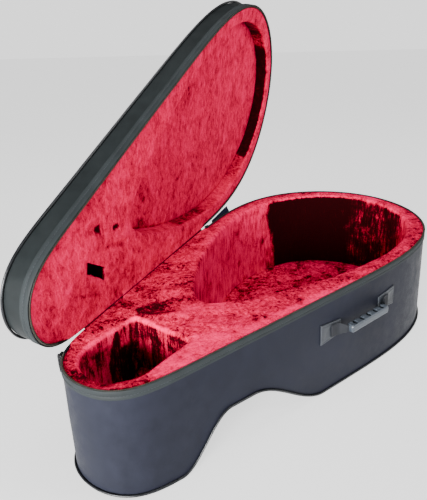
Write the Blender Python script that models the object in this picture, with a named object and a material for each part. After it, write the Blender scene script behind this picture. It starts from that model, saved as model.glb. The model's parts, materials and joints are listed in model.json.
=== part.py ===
"""Oud case: a pear shaped hard case with a hinged lid, a plush lining and a carrying handle.

Case frame: the origin is at the narrow tip in the plane of the base's rim. +X runs along
the case to its wide end, +Y is the hinge side, -Y the handle side and +Z the lid side.
The whole case is tilted a little, because it stands on its bowl and its peg foot.
"""
import math

import bmesh
import bpy
from mathutils import Matrix, Vector

# Outer size of the case
LENGTH = 0.820
HALF_WIDTH = 0.196
OUTLINE_SHAPE = (0.913, -0.206, 0.072, 0.036, 0.0055, 0.0106, 0.0045, 0.0019)
TIP_DEPTH = 0.161
RIM_SLOPE = math.radians(2.0)
WALL_FLARE = 0.028
LID_DEPTH = 0.0405
STEPS = 44
STATION_PITCH = 0.0105
STATION_MARGIN = 0.012

# Underside between the bowl and the peg foot
NOTCH_HEIGHT = 0.069
FOOT_END = 0.073
NOTCH_FOOT_SIDE = 0.157
NOTCH_BOWL_SIDE = 0.196
BOWL_START = 0.338

# Material thicknesses and clearances
COVER = 0.0015
SHELL = 0.006
GAP = 0.0003
LEDGE_DROP = 0.002
LINING_LIP = 0.0022
EDGE_ROLL = 0.006
LID_EDGE_ROLL = 0.004
ROLL_STEPS = 3
FLOOR_PAD = 0.012
LID_SHELL = 0.004
RIM_SETBACK = 0.0008
CUT_REACH = 0.020

# Parting of lid and base
LID_GAP = 0.0014
TAPE_HEIGHT = 0.013
TAPE_THICKNESS = 0.0010
COIL_WIDTH = 0.0022
COIL_HEIGHT = 0.0008
PIPING = 0.0036
PIPING_SIDES = 6
PIPING_INSET = 0.001

# Cavity for the bowl of the instrument
CAVITY_START = 0.236
CAVITY_TAIL_LEDGE = 0.024
CAVITY_SHAPE = (0.1533, -0.0293, -0.0039)

# Well for the pegbox
WELL_START = 0.019
WELL_END = 0.145
WELL_HALF_WIDTH = 0.051
WELL_NOSE = 0.046
WELL_CORNER = 0.008

# Splits between the padding blocks
PEG_BLOCK_END = 0.168
NECK_BLOCK_END = 0.262

# Recess and accessory pocket in the lid
RECESS_START = 0.228
RECESS_DEPTH = 0.030
RECESS_LINING = 0.004
RECESS_GROWTH = 0.004
POCKET_CENTRE = (0.122, 0.004)
POCKET_SIZE = (0.046, 0.040)
POCKET_DEPTH = 0.026

# Hinge: the axis is parallel to a chord of the far side, the fabric runs over its span
HINGE_CHORD = (0.112, 0.262)
HINGE_SPAN = (0.082, 0.453)
HINGE_CLEARANCE = 0.0004
OPEN_ANGLE = math.radians(80.0)
HINGE_FLAP_HEIGHT = 0.016
HINGE_FLAP_SETBACK = 0.0045
HINGE_FLAP_THICKNESS = 0.0009

# Handle
HANDLE_X = 0.423
HANDLE_DROP = 0.063
PATCH_SPREAD = 0.070
PATCH_LENGTH = 0.046
PATCH_OUTER_HEIGHT = 0.035
PATCH_INNER_HEIGHT = 0.025
PATCH_THICKNESS = 0.002
PATCH_GAP = 0.0008
AXIS_STANDOFF = 0.0050
GRIP_LENGTH = 0.094
GRIP_HEIGHT = 0.0135
GRIP_THICKNESS = 0.0135
GRIP_STANDOFF = 0.0050
GRIP_EDGE = 0.0035
GRIP_SLOTS = 5
SLOT_SPAN = 0.068
SLOT_WIDTH = 0.0065
SLOT_DEPTH = 0.0050
SLOT_FRONT_WALL = 0.0025
STRAP_WIDTH = 0.022
STRAP_GRIP_WIDTH = 0.011
STRAP_THICKNESS = 0.0022
STRAP_REACH = 0.020
STRAP_STEPS = 6
SLOT_ARC_STEPS = 6

# Zip sliders
SLIDER_PARKING = (0.052, 0.027)
SLIDER_X = (HINGE_SPAN[0] - SLIDER_PARKING[0], HINGE_SPAN[1] + SLIDER_PARKING[1])
SLIDER_SIZE = (0.012, 0.0075, 0.009)
SLIDER_EDGE = 0.0008
PULL_SIZE = (0.006, 0.0014, 0.026)
PULL_STANDOFF = 0.0022
PULL_TOP = 0.002
PULL_SHOULDER = 0.4
PULL_EDGE = 0.0003
PATCH_EDGE = 0.0004

# Place of the rest face under the bowl
REST_X = 0.560

COLOURS = {
    "cover": ((0.035, 0.040, 0.050), 0.55, 0.0),
    "shell": ((0.55, 0.40, 0.25), 0.70, 0.0),
    "plush": ((0.62, 0.015, 0.050), 0.80, 0.0),
    "tape": ((0.020, 0.024, 0.028), 0.75, 0.0),
    "coil": ((0.012, 0.012, 0.014), 0.45, 0.0),
    "piping": ((0.010, 0.010, 0.012), 0.40, 0.0),
    "moulding": ((0.022, 0.024, 0.028), 0.42, 0.0),
    "metal": ((0.60, 0.60, 0.62), 0.30, 1.0),
}


def clear_scene():
    for item in list(bpy.data.objects):
        bpy.data.objects.remove(item, do_unlink=True)


def material(kind):
    name = "case_" + kind
    found = bpy.data.materials.get(name)
    if found:
        return found
    colour, roughness, metallic = COLOURS[kind]
    made = bpy.data.materials.new(name)
    made.use_nodes = True
    shader = made.node_tree.nodes["Principled BSDF"]
    shader.inputs["Base Color"].default_value = (*colour, 1.0)
    shader.inputs["Roughness"].default_value = roughness
    shader.inputs["Metallic"].default_value = metallic
    made.diffuse_color = (*colour, 1.0)
    return made


def add_object(name, mesh_data, kind, parent):
    """Name a closed bmesh, face it outward and hang it under its parent."""
    bmesh.ops.recalc_face_normals(mesh_data, faces=mesh_data.faces)
    mesh = bpy.data.meshes.new(name)
    mesh_data.to_mesh(mesh)
    mesh_data.free()
    mesh.shade_smooth()
    mesh.set_sharp_from_angle(angle=math.radians(35.0))
    item = bpy.data.objects.new(name, mesh)
    item.data.materials.append(material(kind))
    item.parent = parent
    bpy.context.collection.objects.link(item)
    return item


def smooth_step(value, start, end):
    t = min(1.0, max(0.0, (value - start) / (end - start)))
    return t * t * (3.0 - 2.0 * t)


def outline_point(angle, offset):
    """One point of the +Y half of the outline, grown by offset along its normal."""
    x = 0.5 * LENGTH * (1.0 - math.cos(angle))
    y = 0.0
    dx = 0.5 * LENGTH * math.sin(angle)
    dy = 0.0
    for order, share in enumerate(OUTLINE_SHAPE, start=1):
        y += HALF_WIDTH * share * math.sin(order * angle)
        dy += HALF_WIDTH * share * order * math.cos(order * angle)
    size = math.hypot(dx, dy)
    return x - offset * dy / size, max(0.0, y + offset * dx / size)


def mirror_loop(half):
    """Close a half outline, which starts and ends on the centre line."""
    other = [(x, -y) for x, y in reversed(half[1:-1])]
    return half + other


def angles():
    return [math.pi * step / STEPS for step in range(STEPS + 1)]


def point_at(x, offset):
    """The +Y outline point at x, grown by offset along its normal."""
    low = 0.0
    high = math.pi
    for halving in range(40):
        middle = 0.5 * (low + high)
        if outline_point(middle, offset)[0] < x:
            low = middle
        else:
            high = middle
    return x, outline_point(low, offset)[1]


def stations():
    """Shared places along X over the notch, where every bottom piece has its points."""
    start = FOOT_END - STATION_MARGIN
    end = BOWL_START + STATION_MARGIN
    count = max(4, round((end - start) / STATION_PITCH))
    return [start + (end - start) * step / count for step in range(count + 1)]


def half_outline(offset, depth_at=None):
    """Half outline at an offset; depth_at adds the wall's flare below the rim.

    Which points come before and after the notch doesn't depend on the offset, so loops at
    different offsets have the same number of points.
    """
    if depth_at is None:
        half = [outline_point(angle, offset) for angle in angles()]
    else:
        def grown(x):
            return offset + WALL_FLARE * max(0.0, -depth_at(x))
        places = stations()
        before = []
        after = []
        for angle in angles():
            place = outline_point(angle, 0.0)[0]
            growth = grown(outline_point(angle, offset)[0])
            if place < places[0] - 0.5 * STATION_PITCH:
                before.append(outline_point(angle, growth))
            if place > places[-1] + 0.5 * STATION_PITCH:
                after.append(outline_point(angle, growth))
        half = before + [point_at(x, grown(x)) for x in places] + after
    half[0] = (half[0][0], 0.0)
    half[-1] = (half[-1][0], 0.0)
    return half


def cavity_length():
    return LENGTH - CAVITY_TAIL_LEDGE - CAVITY_START


def series_half(start, length, shape, growth=0.0):
    """Half outline of the bowl's body: a cosine step along X, a sine series across."""
    half = []
    for angle in angles():
        x = start + 0.5 * length * (1.0 - math.cos(angle))
        y = 0.0
        dx = 0.5 * length * math.sin(angle)
        dy = 0.0
        for order, share in enumerate(shape, start=1):
            y += share * math.sin(order * angle)
            dy += share * order * math.cos(order * angle)
        size = math.hypot(dx, dy)
        half.append((x - growth * dy / size, max(0.0, y + growth * dx / size)))
    half[0] = (half[0][0], 0.0)
    half[-1] = (half[-1][0], 0.0)
    return half


def underside(x):
    """Height of the outer bottom at x: flat on the floor, raised over the notch."""
    rise = smooth_step(x, FOOT_END, NOTCH_FOOT_SIDE)
    rise *= 1.0 - smooth_step(x, NOTCH_BOWL_SIDE, BOWL_START)
    return -(TIP_DEPTH + x * math.tan(RIM_SLOPE)) + NOTCH_HEIGHT * rise


def level(height):
    return lambda x: height


def above_underside(distance):
    return lambda x: underside(x) + distance


def ring_solid(name, loops, kind, parent):
    """A closed ring whose section runs through the loops in turn, back to the first."""
    mesh_data = bmesh.new()
    rings = [[mesh_data.verts.new(point) for point in loop] for loop in loops]
    count = len(rings[0])
    for first, second in zip(rings, rings[1:] + rings[:1]):
        for i in range(count):
            j = (i + 1) % count
            mesh_data.faces.new((first[i], first[j], second[j], second[i]))
    return add_object(name, mesh_data, kind, parent)


def raised(half, height):
    return [(x, y, height(x)) for x, y in mirror_loop(half)]


def wall_loops(outer_offset, inner_offset, low, high, flared):
    loops = []
    for offset, height in ((outer_offset, low), (outer_offset, high), (inner_offset, high),
                           (inner_offset, low)):
        loops.append((half_outline(offset, height if flared else None), height))
    return loops


def wall_band(name, outer_offset, inner_offset, low, high, kind, parent, flared=True):
    """A band all the way round the case."""
    halves = wall_loops(outer_offset, inner_offset, low, high, flared)
    return ring_solid(name, [raised(half, height) for half, height in halves], kind, parent)


def wall_strip(name, side, outer_offset, inner_offset, low, high, kind, parent):
    """Half of a band, on the +Y or the -Y side, butted to the other half at tip and tail."""
    mesh_data = bmesh.new()
    rows = []
    for half, height in wall_loops(outer_offset, inner_offset, low, high, True):
        row = [(x, side * max(y, 0.5 * GAP), height(x)) for x, y in half]
        rows.append([mesh_data.verts.new(point) for point in row])
    for first, second in zip(rows, rows[1:] + rows[:1]):
        for i in range(len(first) - 1):
            mesh_data.faces.new((first[i], first[i + 1], second[i + 1], second[i]))
    for end in (0, -1):
        mesh_data.faces.new([row[end] for row in rows])
    return add_object(name, mesh_data, kind, parent)


def piping_ring(name, height, parent, flared):
    """Round piping laid against the wall at a height along the case."""
    loops = []
    centre = GAP + 0.5 * PIPING
    for side in range(PIPING_SIDES):
        angle = 2.0 * math.pi * (side + 0.5) / PIPING_SIDES
        offset = centre + 0.5 * PIPING * math.cos(angle)
        rise = 0.5 * PIPING * math.sin(angle)
        half = half_outline(offset, height if flared else None)
        loops.append(raised(half, lambda x, rise=rise: height(x) + rise))
    return ring_solid(name, loops, "piping", parent)


def plate(name, levels, kind, parent):
    """A closed solid through half outlines at rising heights, with strips across its ends."""
    mesh_data = bmesh.new()
    rows = []
    for half, height in levels:
        near = [mesh_data.verts.new((x, -y, height(x))) for x, y in half[1:-1]]
        far = [mesh_data.verts.new((x, y, height(x))) for x, y in half[1:-1]]
        tips = [mesh_data.verts.new((x, 0.0, height(x))) for x, y in (half[0], half[-1])]
        rows.append((near, far, tips))
    for near, far, tips in (rows[0], rows[-1]):
        for i in range(len(near) - 1):
            mesh_data.faces.new((near[i], near[i + 1], far[i + 1], far[i]))
        mesh_data.faces.new((tips[0], near[0], far[0]))
        mesh_data.faces.new((tips[1], far[-1], near[-1]))
    for (near_a, far_a, tips_a), (near_b, far_b, tips_b) in zip(rows, rows[1:]):
        for low_row, high_row in ((near_a, near_b), (far_a, far_b)):
            low_line = [tips_a[0]] + low_row + [tips_a[1]]
            high_line = [tips_b[0]] + high_row + [tips_b[1]]
            for i in range(len(low_line) - 1):
                mesh_data.faces.new((low_line[i], low_line[i + 1],
                                     high_line[i + 1], high_line[i]))
    return add_object(name, mesh_data, kind, parent)


def rolled_cutter(name, outline_at, bottom, lip, roll, parent):
    """Cutter of a pocket from bottom to past its lip, flared over a rounded edge at the lip.

    outline_at gives the pocket's closed outline grown by a distance. The lip lies above or
    below the bottom, so the same cutter serves the base and the lid.
    """
    way = 1.0 if lip > bottom else -1.0
    levels = [(0.0, bottom)]
    for step in range(ROLL_STEPS + 1):
        angle = 0.5 * math.pi * step / ROLL_STEPS
        levels.append((roll * (1.0 - math.cos(angle)), lip - way * roll * (1.0 - math.sin(angle))))
    levels.append((roll, lip + way * CUT_REACH))
    mesh_data = bmesh.new()
    rings = []
    for growth, height in levels:
        rings.append([mesh_data.verts.new((x, y, height)) for x, y in outline_at(growth)])
    for first, second in zip(rings, rings[1:]):
        for i in range(len(first)):
            j = (i + 1) % len(first)
            mesh_data.faces.new((first[i], first[j], second[j], second[i]))
    mesh_data.faces.new(rings[0])
    mesh_data.faces.new(rings[-1])
    return make_cutter(add_object(name, mesh_data, "plush", parent))


def prism(name, points, low, high, kind, parent):
    """A straight prism over a closed outline of (x, y) points."""
    mesh_data = bmesh.new()
    bottom = [mesh_data.verts.new((x, y, low)) for x, y in points]
    top = [mesh_data.verts.new((x, y, high)) for x, y in points]
    mesh_data.faces.new(bottom)
    mesh_data.faces.new(top)
    for i in range(len(points)):
        j = (i + 1) % len(points)
        mesh_data.faces.new((bottom[i], bottom[j], top[j], top[i]))
    return add_object(name, mesh_data, kind, parent)


def make_cutter(item):
    item.hide_render = True
    item.display_type = "WIRE"
    return item


def combine(item, cutter, operation):
    step = item.modifiers.new(operation.lower(), "BOOLEAN")
    step.operation = operation
    step.solver = "EXACT"
    step.object = cutter


def soften(item, width, segments=2):
    step = item.modifiers.new("soft_edges", "BEVEL")
    step.width = width
    step.segments = segments
    step.limit_method = "ANGLE"
    step.angle_limit = math.radians(40.0)


def box_points(centre, size):
    x, y = centre
    dx, dy = size[0] / 2.0, size[1] / 2.0
    return [(x - dx, y - dy), (x + dx, y - dy), (x + dx, y + dy), (x - dx, y + dy)]


def well_points(shrink=0.0):
    """Pegbox well: straight sides, a square end and a round nose at the narrow tip."""
    half_width = WELL_HALF_WIDTH - shrink
    start = WELL_START + shrink
    end = WELL_END - shrink
    half = [(start, 0.0)]
    nose_steps = 9
    for step in range(1, nose_steps + 1):
        angle = 0.5 * math.pi * step / nose_steps
        half.append((start + WELL_NOSE * (1.0 - math.cos(angle)), half_width * math.sin(angle)))
    half.append((end - WELL_CORNER, half_width))
    half.append((end, half_width - WELL_CORNER))
    half.append((end, 0.0))
    return mirror_loop(half)


def empty(name, location, parent=None):
    item = bpy.data.objects.new(name, None)
    item.location = location
    item.parent = parent
    bpy.context.collection.objects.link(item)
    return item


def case_frame():
    """Stand the case on its bowl and peg foot, with the rest face's point at the origin."""
    item = empty("case_frame", (0.0, 0.0, 0.0))
    tilt = Matrix.Rotation(-RIM_SLOPE, 3, "Y")
    rest = tilt @ Vector((REST_X, 0.0, -(TIP_DEPTH + REST_X * math.tan(RIM_SLOPE))))
    item.rotation_euler = (0.0, -RIM_SLOPE, 0.0)
    item.location = -rest
    return item


def base_shell(frame):
    """Cover, plywood shell and piping of the deep lower half."""
    wall_band("base_cover_wall", 0.0, -COVER, above_underside(0.0), level(-RIM_SETBACK), "cover",
              frame)
    skin = -COVER - GAP
    skin_levels = [(half_outline(skin, above_underside(height)), above_underside(height))
                   for height in (0.0, COVER)]
    plate("base_cover_bottom", skin_levels, "cover", frame)
    panel_low = COVER + GAP
    wall_top = -LEDGE_DROP - LINING_LIP - GAP
    for name, side in (("base_side_near", -1.0), ("base_side_far", 1.0)):
        wall_strip(name, side, skin, skin - SHELL, above_underside(panel_low), level(wall_top),
                   "shell", frame)
    panel_levels = []
    for height in (panel_low, panel_low + SHELL):
        half = half_outline(skin - SHELL - GAP, above_underside(height))
        panel_levels.append((half, above_underside(height)))
    plate("base_bottom_panel", panel_levels, "shell", frame)
    piping_ring("base_bottom_piping", above_underside(PIPING_INSET + 0.5 * PIPING), frame, True)


def cavity_outline(growth):
    return mirror_loop(series_half(CAVITY_START, cavity_length(), CAVITY_SHAPE, growth))


def well_outline(growth):
    return well_points(-growth)


def padding_blocks(frame):
    """Foam blocks in plush: one round the bowl, one under the neck, one round the pegbox.

    The lining's lip runs out over the edge of the plywood wall to the cover.
    """
    floor = COVER + 2.0 * GAP + SHELL
    lip_outer = -COVER - GAP
    outer = lip_outer - SHELL - GAP
    low = above_underside(floor)
    shoulder = level(-LEDGE_DROP - LINING_LIP)
    high = level(-LEDGE_DROP)
    levels = ((outer, low), (outer, shoulder), (lip_outer, shoulder), (lip_outer, high))
    depth = TIP_DEPTH + LENGTH * math.tan(RIM_SLOPE) + CUT_REACH
    cavity_cutter = rolled_cutter("cavity_cutter", cavity_outline, -depth, -LEDGE_DROP, EDGE_ROLL,
                                  frame)
    well_cutter = rolled_cutter("well_cutter", well_outline, -depth, -LEDGE_DROP, EDGE_ROLL, frame)
    splits = (
        ("pegbox_padding", -CUT_REACH, PEG_BLOCK_END - GAP, well_cutter),
        ("neck_padding", PEG_BLOCK_END, NECK_BLOCK_END - GAP, cavity_cutter),
        ("bowl_padding", NECK_BLOCK_END, LENGTH + CUT_REACH, cavity_cutter),
    )
    for name, start, end, pocket_cutter in splits:
        block = plate(name, [(half_outline(offset, height), height) for offset, height in levels],
                      "plush", frame)
        size = (end - start, 2.0 * HALF_WIDTH + 2.0 * CUT_REACH)
        slab = prism(name + "_slab", box_points((0.5 * (start + end), 0.0), size), -depth,
                     CUT_REACH, "plush", frame)
        combine(block, make_cutter(slab), "INTERSECT")
        combine(block, pocket_cutter, "DIFFERENCE")
    for name, points in (("bowl_floor_pad", cavity_outline(-2.0 * GAP)),
                         ("pegbox_floor_pad", well_outline(-2.0 * GAP))):
        pad_levels = []
        for height in (above_underside(floor), above_underside(floor + FLOOR_PAD)):
            pad_levels.append((half_outline(outer, height), height))
        pad = plate(name, pad_levels, "plush", frame)
        shape = prism(name + "_shape", points, -depth, CUT_REACH, "plush", frame)
        combine(pad, make_cutter(shape), "INTERSECT")


def base_zip(frame):
    """Zip tape and coil round the rim of the base."""
    tape_in = GAP
    tape_out = tape_in + TAPE_THICKNESS
    wall_band("base_zip_tape", tape_out, tape_in, level(-TAPE_HEIGHT), level(-RIM_SETBACK), "tape",
              frame)
    coil_low = GAP - RIM_SETBACK
    wall_band("base_zip_coil", 0.0, -COIL_WIDTH, level(coil_low), level(coil_low + COIL_HEIGHT),
              "coil", frame)


def hinge_line():
    """Point and direction of the hinge axis, along the straight part of the far side."""
    ends = []
    for x in HINGE_CHORD:
        ends.append(Vector((*point_at(x, 0.0), 0.0)))
    along = (ends[1] - ends[0]).normalized()
    across = Vector((-along.y, along.x, 0.0))
    reach = max(across.dot(Vector((*outline_point(a, 0.0), 0.0))) for a in angles())
    middle = ends[0].lerp(ends[1], 0.5)
    point = middle + across * (reach - across.dot(middle) + HINGE_CLEARANCE)
    point.z = 0.5 * LID_GAP
    return point, along


def lid_frame(frame):
    """Empty on the hinge axis, turned open; inside it the lid is modelled closed."""
    point, along = hinge_line()
    item = empty("lid_hinge", point, frame)
    item.rotation_mode = "QUATERNION"
    item.rotation_quaternion = Matrix.Rotation(-OPEN_ANGLE, 3, along).to_quaternion()
    return empty("lid_closed_frame", -point, item)


def lid_pieces(lid):
    """Shallow upper half, modelled closed and swung open by its parent."""
    rim = LID_GAP + RIM_SETBACK
    roof = LID_GAP + LID_DEPTH
    wall_band("lid_cover_wall", 0.0, -COVER, level(rim), level(roof), "cover", lid, flared=False)
    skin = half_outline(-COVER - GAP)
    plate("lid_cover_roof", [(skin, level(roof - COVER)), (skin, level(roof))], "cover", lid)
    shell_out = -COVER - GAP
    shell_in = shell_out - LID_SHELL
    lining_low = rim + LEDGE_DROP
    panel_high = roof - COVER - GAP
    panel_low = panel_high - LID_SHELL
    wall_band("lid_side_wall", shell_out, shell_in, level(lining_low + LINING_LIP + GAP),
              level(panel_high), "shell", lid, flared=False)
    panel = half_outline(shell_in - GAP)
    plate("lid_roof_panel", [(panel, level(panel_low)), (panel, level(panel_high))], "shell", lid)
    piping_ring("lid_roof_piping", level(roof - PIPING_INSET - 0.5 * PIPING), lid, False)
    tape_in = GAP
    tape_out = tape_in + TAPE_THICKNESS
    wall_band("lid_zip_tape", tape_out, tape_in, level(rim), level(rim + TAPE_HEIGHT), "tape",
              lid, flared=False)
    wall_band("lid_zip_coil", 0.0, -COIL_WIDTH, level(rim - GAP - COIL_HEIGHT), level(rim - GAP),
              "coil", lid, flared=False)
    lid_lining(lid, lining_low, shell_out, shell_in - GAP, panel_low - GAP)


def recess_outline(growth):
    length = LENGTH - CAVITY_TAIL_LEDGE - RECESS_START
    return mirror_loop(series_half(RECESS_START, length, CAVITY_SHAPE, RECESS_GROWTH + growth))


def pocket_outline(growth):
    size = [side + 2.0 * growth for side in POCKET_SIZE]
    return box_points(POCKET_CENTRE, size)


def lid_lining(lid, low, lip_offset, offset, high):
    """Ledge padding with the bowl's recess and the accessory pocket, and the recess lining."""
    lip = half_outline(lip_offset)
    body = half_outline(offset)
    shoulder = low + LINING_LIP
    padding = plate("lid_padding", [(lip, level(low)), (lip, level(shoulder)),
                                    (body, level(shoulder)), (body, level(high))], "plush", lid)
    combine(padding, rolled_cutter("recess_cutter", recess_outline, high + CUT_REACH, low,
                                   LID_EDGE_ROLL, lid), "DIFFERENCE")
    combine(padding, rolled_cutter("pocket_cutter", pocket_outline, low + POCKET_DEPTH, low,
                                   LID_EDGE_ROLL, lid), "DIFFERENCE")
    length = LENGTH - CAVITY_TAIL_LEDGE - RECESS_START
    lining = series_half(RECESS_START, length, CAVITY_SHAPE, RECESS_GROWTH - 2.0 * GAP)
    plate("lid_recess_lining", [(lining, level(low + RECESS_DEPTH - RECESS_LINING)),
                                (lining, level(high))], "plush", lid)


def slab_on(frame_matrix, points, low, high):
    """Closed bmesh of an outline in a local plane, raised from low to high and placed."""
    mesh_data = bmesh.new()
    bottom = [mesh_data.verts.new((x, y, low)) for x, y in points]
    top = [mesh_data.verts.new((x, y, high)) for x, y in points]
    mesh_data.faces.new(bottom)
    mesh_data.faces.new(top)
    for i in range(len(points)):
        j = (i + 1) % len(points)
        mesh_data.faces.new((bottom[i], bottom[j], top[j], top[i]))
    mesh_data.transform(frame_matrix)
    return mesh_data


def hinge_flaps(frame, lid):
    """The two leaves of the fabric hinge, each on its own zip tape and clear of the fold."""
    point, along = hinge_line()
    start, end = [(x - point.x) / along.x for x in HINGE_SPAN]
    for name, parent, low, high in (
        ("hinge_flap_base", frame, -HINGE_FLAP_HEIGHT, -HINGE_FLAP_SETBACK),
        ("hinge_flap_lid", lid, LID_GAP + HINGE_FLAP_SETBACK, LID_GAP + HINGE_FLAP_HEIGHT),
    ):
        inner = -HINGE_CLEARANCE + TAPE_THICKNESS + 3.0 * GAP
        outline = box_points((0.5 * (start + end), inner + 0.5 * HINGE_FLAP_THICKNESS),
                             (end - start, HINGE_FLAP_THICKNESS))
        place = Matrix.Translation((point.x, point.y, 0.0))
        place @= Matrix.Rotation(math.atan2(along.y, along.x), 4, "Z")
        add_object(name, slab_on(place, outline, low, high), "tape", parent)


def wall_place(x, side, drop):
    """Matrix at the outer wall: X along the wall, Y out of it, Z up."""
    angle = math.acos(1.0 - 2.0 * x / LENGTH)
    offset = WALL_FLARE * drop
    px, py = outline_point(angle, offset)
    qx, qy = outline_point(angle, offset + 0.01)
    out = Vector((qx - px, side * (qy - py), 0.0)).normalized()
    along = Vector((out.y, -out.x, 0.0))
    matrix = Matrix.Identity(4)
    matrix.col[0][:3] = along
    matrix.col[1][:3] = out
    matrix.col[2][:3] = (0.0, 0.0, 1.0)
    matrix.col[3][:3] = (px, side * py, -drop)
    return matrix


def upright_slab(points, low, high):
    """Closed bmesh of an outline in X and Z, thick along Y from low to high."""
    turn = Matrix(((1, 0, 0, 0), (0, 0, 1, 0), (0, 1, 0, 0), (0, 0, 0, 1)))
    return slab_on(turn, points, low, high)


def handle_pieces(frame):
    """Sewn patches on the wall, and the grip with its strap ends on one swing axis."""
    for name, side in (("handle_patch_narrow", -1.0), ("handle_patch_wide", 1.0)):
        place = wall_place(HANDLE_X + side * PATCH_SPREAD, -1.0, HANDLE_DROP)
        outer_x = -side * 0.5 * PATCH_LENGTH
        tall = 0.5 * PATCH_OUTER_HEIGHT
        short = 0.5 * PATCH_INNER_HEIGHT
        outline = [(outer_x, -tall), (-outer_x, -short), (-outer_x, short), (outer_x, tall)]
        slab = upright_slab(outline, PATCH_GAP, PATCH_GAP + PATCH_THICKNESS)
        slab.transform(place)
        soften(add_object(name, slab, "moulding", frame), PATCH_EDGE, 1)
    axis = empty("handle_axis", (0.0, 0.0, 0.0), frame)
    place = wall_place(HANDLE_X, -1.0, HANDLE_DROP)
    axis.matrix_local = place @ Matrix.Translation((0.0, AXIS_STANDOFF, 0.0))
    grip_piece(axis)
    strap_ends(axis)


def grip_piece(axis):
    """Moulded grip: smooth on its outer side, with finger grooves open to the wall side."""
    top = 0.5 * GRIP_HEIGHT
    front = GRIP_STANDOFF + GRIP_THICKNESS
    outline = [(-0.5 * GRIP_LENGTH, -top), (0.5 * GRIP_LENGTH, -top),
               (0.5 * GRIP_LENGTH, top), (-0.5 * GRIP_LENGTH, top)]
    grip = add_object("handle_grip", upright_slab(outline, GRIP_STANDOFF, front), "moulding", axis)
    soften(grip, GRIP_EDGE, 3)
    radius = 0.5 * SLOT_WIDTH
    slot_end = front - SLOT_FRONT_WALL - radius
    for number in range(GRIP_SLOTS):
        x = SLOT_SPAN * (number / (GRIP_SLOTS - 1) - 0.5)
        points = [(x + radius, 0.0), (x + radius, slot_end)]
        for step in range(1, SLOT_ARC_STEPS):
            angle = math.pi * step / SLOT_ARC_STEPS
            points.append((x + radius * math.cos(angle), slot_end + radius * math.sin(angle)))
        points += [(x - radius, slot_end), (x - radius, 0.0)]
        slot = prism(f"grip_slot_{number}", points, top - SLOT_DEPTH, top + SLOT_DEPTH,
                     "moulding", axis)
        combine(grip, make_cutter(slot), "DIFFERENCE")


def strap_ends(axis):
    """Webbing ends from the grip to the patches, wide where they are sewn to the wall."""
    near = GRIP_STANDOFF + 0.5 * GRIP_THICKNESS
    start = 0.5 * GRIP_LENGTH + GAP
    for name, side in (("handle_strap_narrow", 1.0), ("handle_strap_wide", -1.0)):
        mesh_data = bmesh.new()
        rings = []
        for step in range(STRAP_STEPS + 1):
            t = step / STRAP_STEPS
            y = near * (1.0 - smooth_step(t, 0.0, 1.0))
            width = STRAP_GRIP_WIDTH + (STRAP_WIDTH - STRAP_GRIP_WIDTH) * t
            ring = []
            for dy, dz in ((-1, -1), (1, -1), (1, 1), (-1, 1)):
                point = (side * (start + STRAP_REACH * t), y + 0.5 * dy * STRAP_THICKNESS,
                         0.5 * dz * width)
                ring.append(mesh_data.verts.new(point))
            rings.append(ring)
        for first, second in zip(rings, rings[1:]):
            for i in range(4):
                j = (i + 1) % 4
                mesh_data.faces.new((first[i], first[j], second[j], second[i]))
        mesh_data.faces.new(rings[0])
        mesh_data.faces.new(rings[-1])
        add_object(name, mesh_data, "tape", axis)


def zip_sliders(frame):
    """The two sliders parked at the ends of the hinge, each with a hanging pull."""
    for name, x in zip(("narrow", "wide"), SLIDER_X):
        place = wall_place(x, 1.0, 0.5 * SLIDER_SIZE[2])
        out = TAPE_THICKNESS + 3.0 * GAP
        length, thick, tall = SLIDER_SIZE
        points = box_points((0.0, 0.0), (length, tall))
        body = upright_slab(points, out, out + 0.5 * thick)
        body.transform(place)
        slider = add_object("zip_slider_" + name, body, "metal", frame)
        soften(slider, SLIDER_EDGE, 1)
        axis = empty("zip_pull_axis_" + name, (0.0, 0.0, 0.0), frame)
        hang = place @ Matrix.Translation((0.0, out + 0.5 * thick + PULL_STANDOFF, 0.0))
        axis.matrix_local = hang
        width, pull_thick, pull_long = PULL_SIZE
        shoulder = -PULL_SHOULDER * pull_long
        half = [(0.3 * width, PULL_TOP), (0.5 * width, shoulder), (0.4 * width, -pull_long)]
        outline = half + [(-x, z) for x, z in reversed(half)]
        pull = add_object("zip_pull_" + name,
                          upright_slab(outline, -0.5 * pull_thick, 0.5 * pull_thick),
                          "metal", axis)
        soften(pull, PULL_EDGE, 1)


def build():
    clear_scene()
    frame = case_frame()
    base_shell(frame)
    padding_blocks(frame)
    base_zip(frame)
    lid = lid_frame(frame)
    lid_pieces(lid)
    hinge_flaps(frame, lid)
    handle_pieces(frame)
    zip_sliders(frame)


build()
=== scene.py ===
import json
import math

import bmesh
import bpy
import numpy as np
from mathutils import Matrix, Vector, noise


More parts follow.
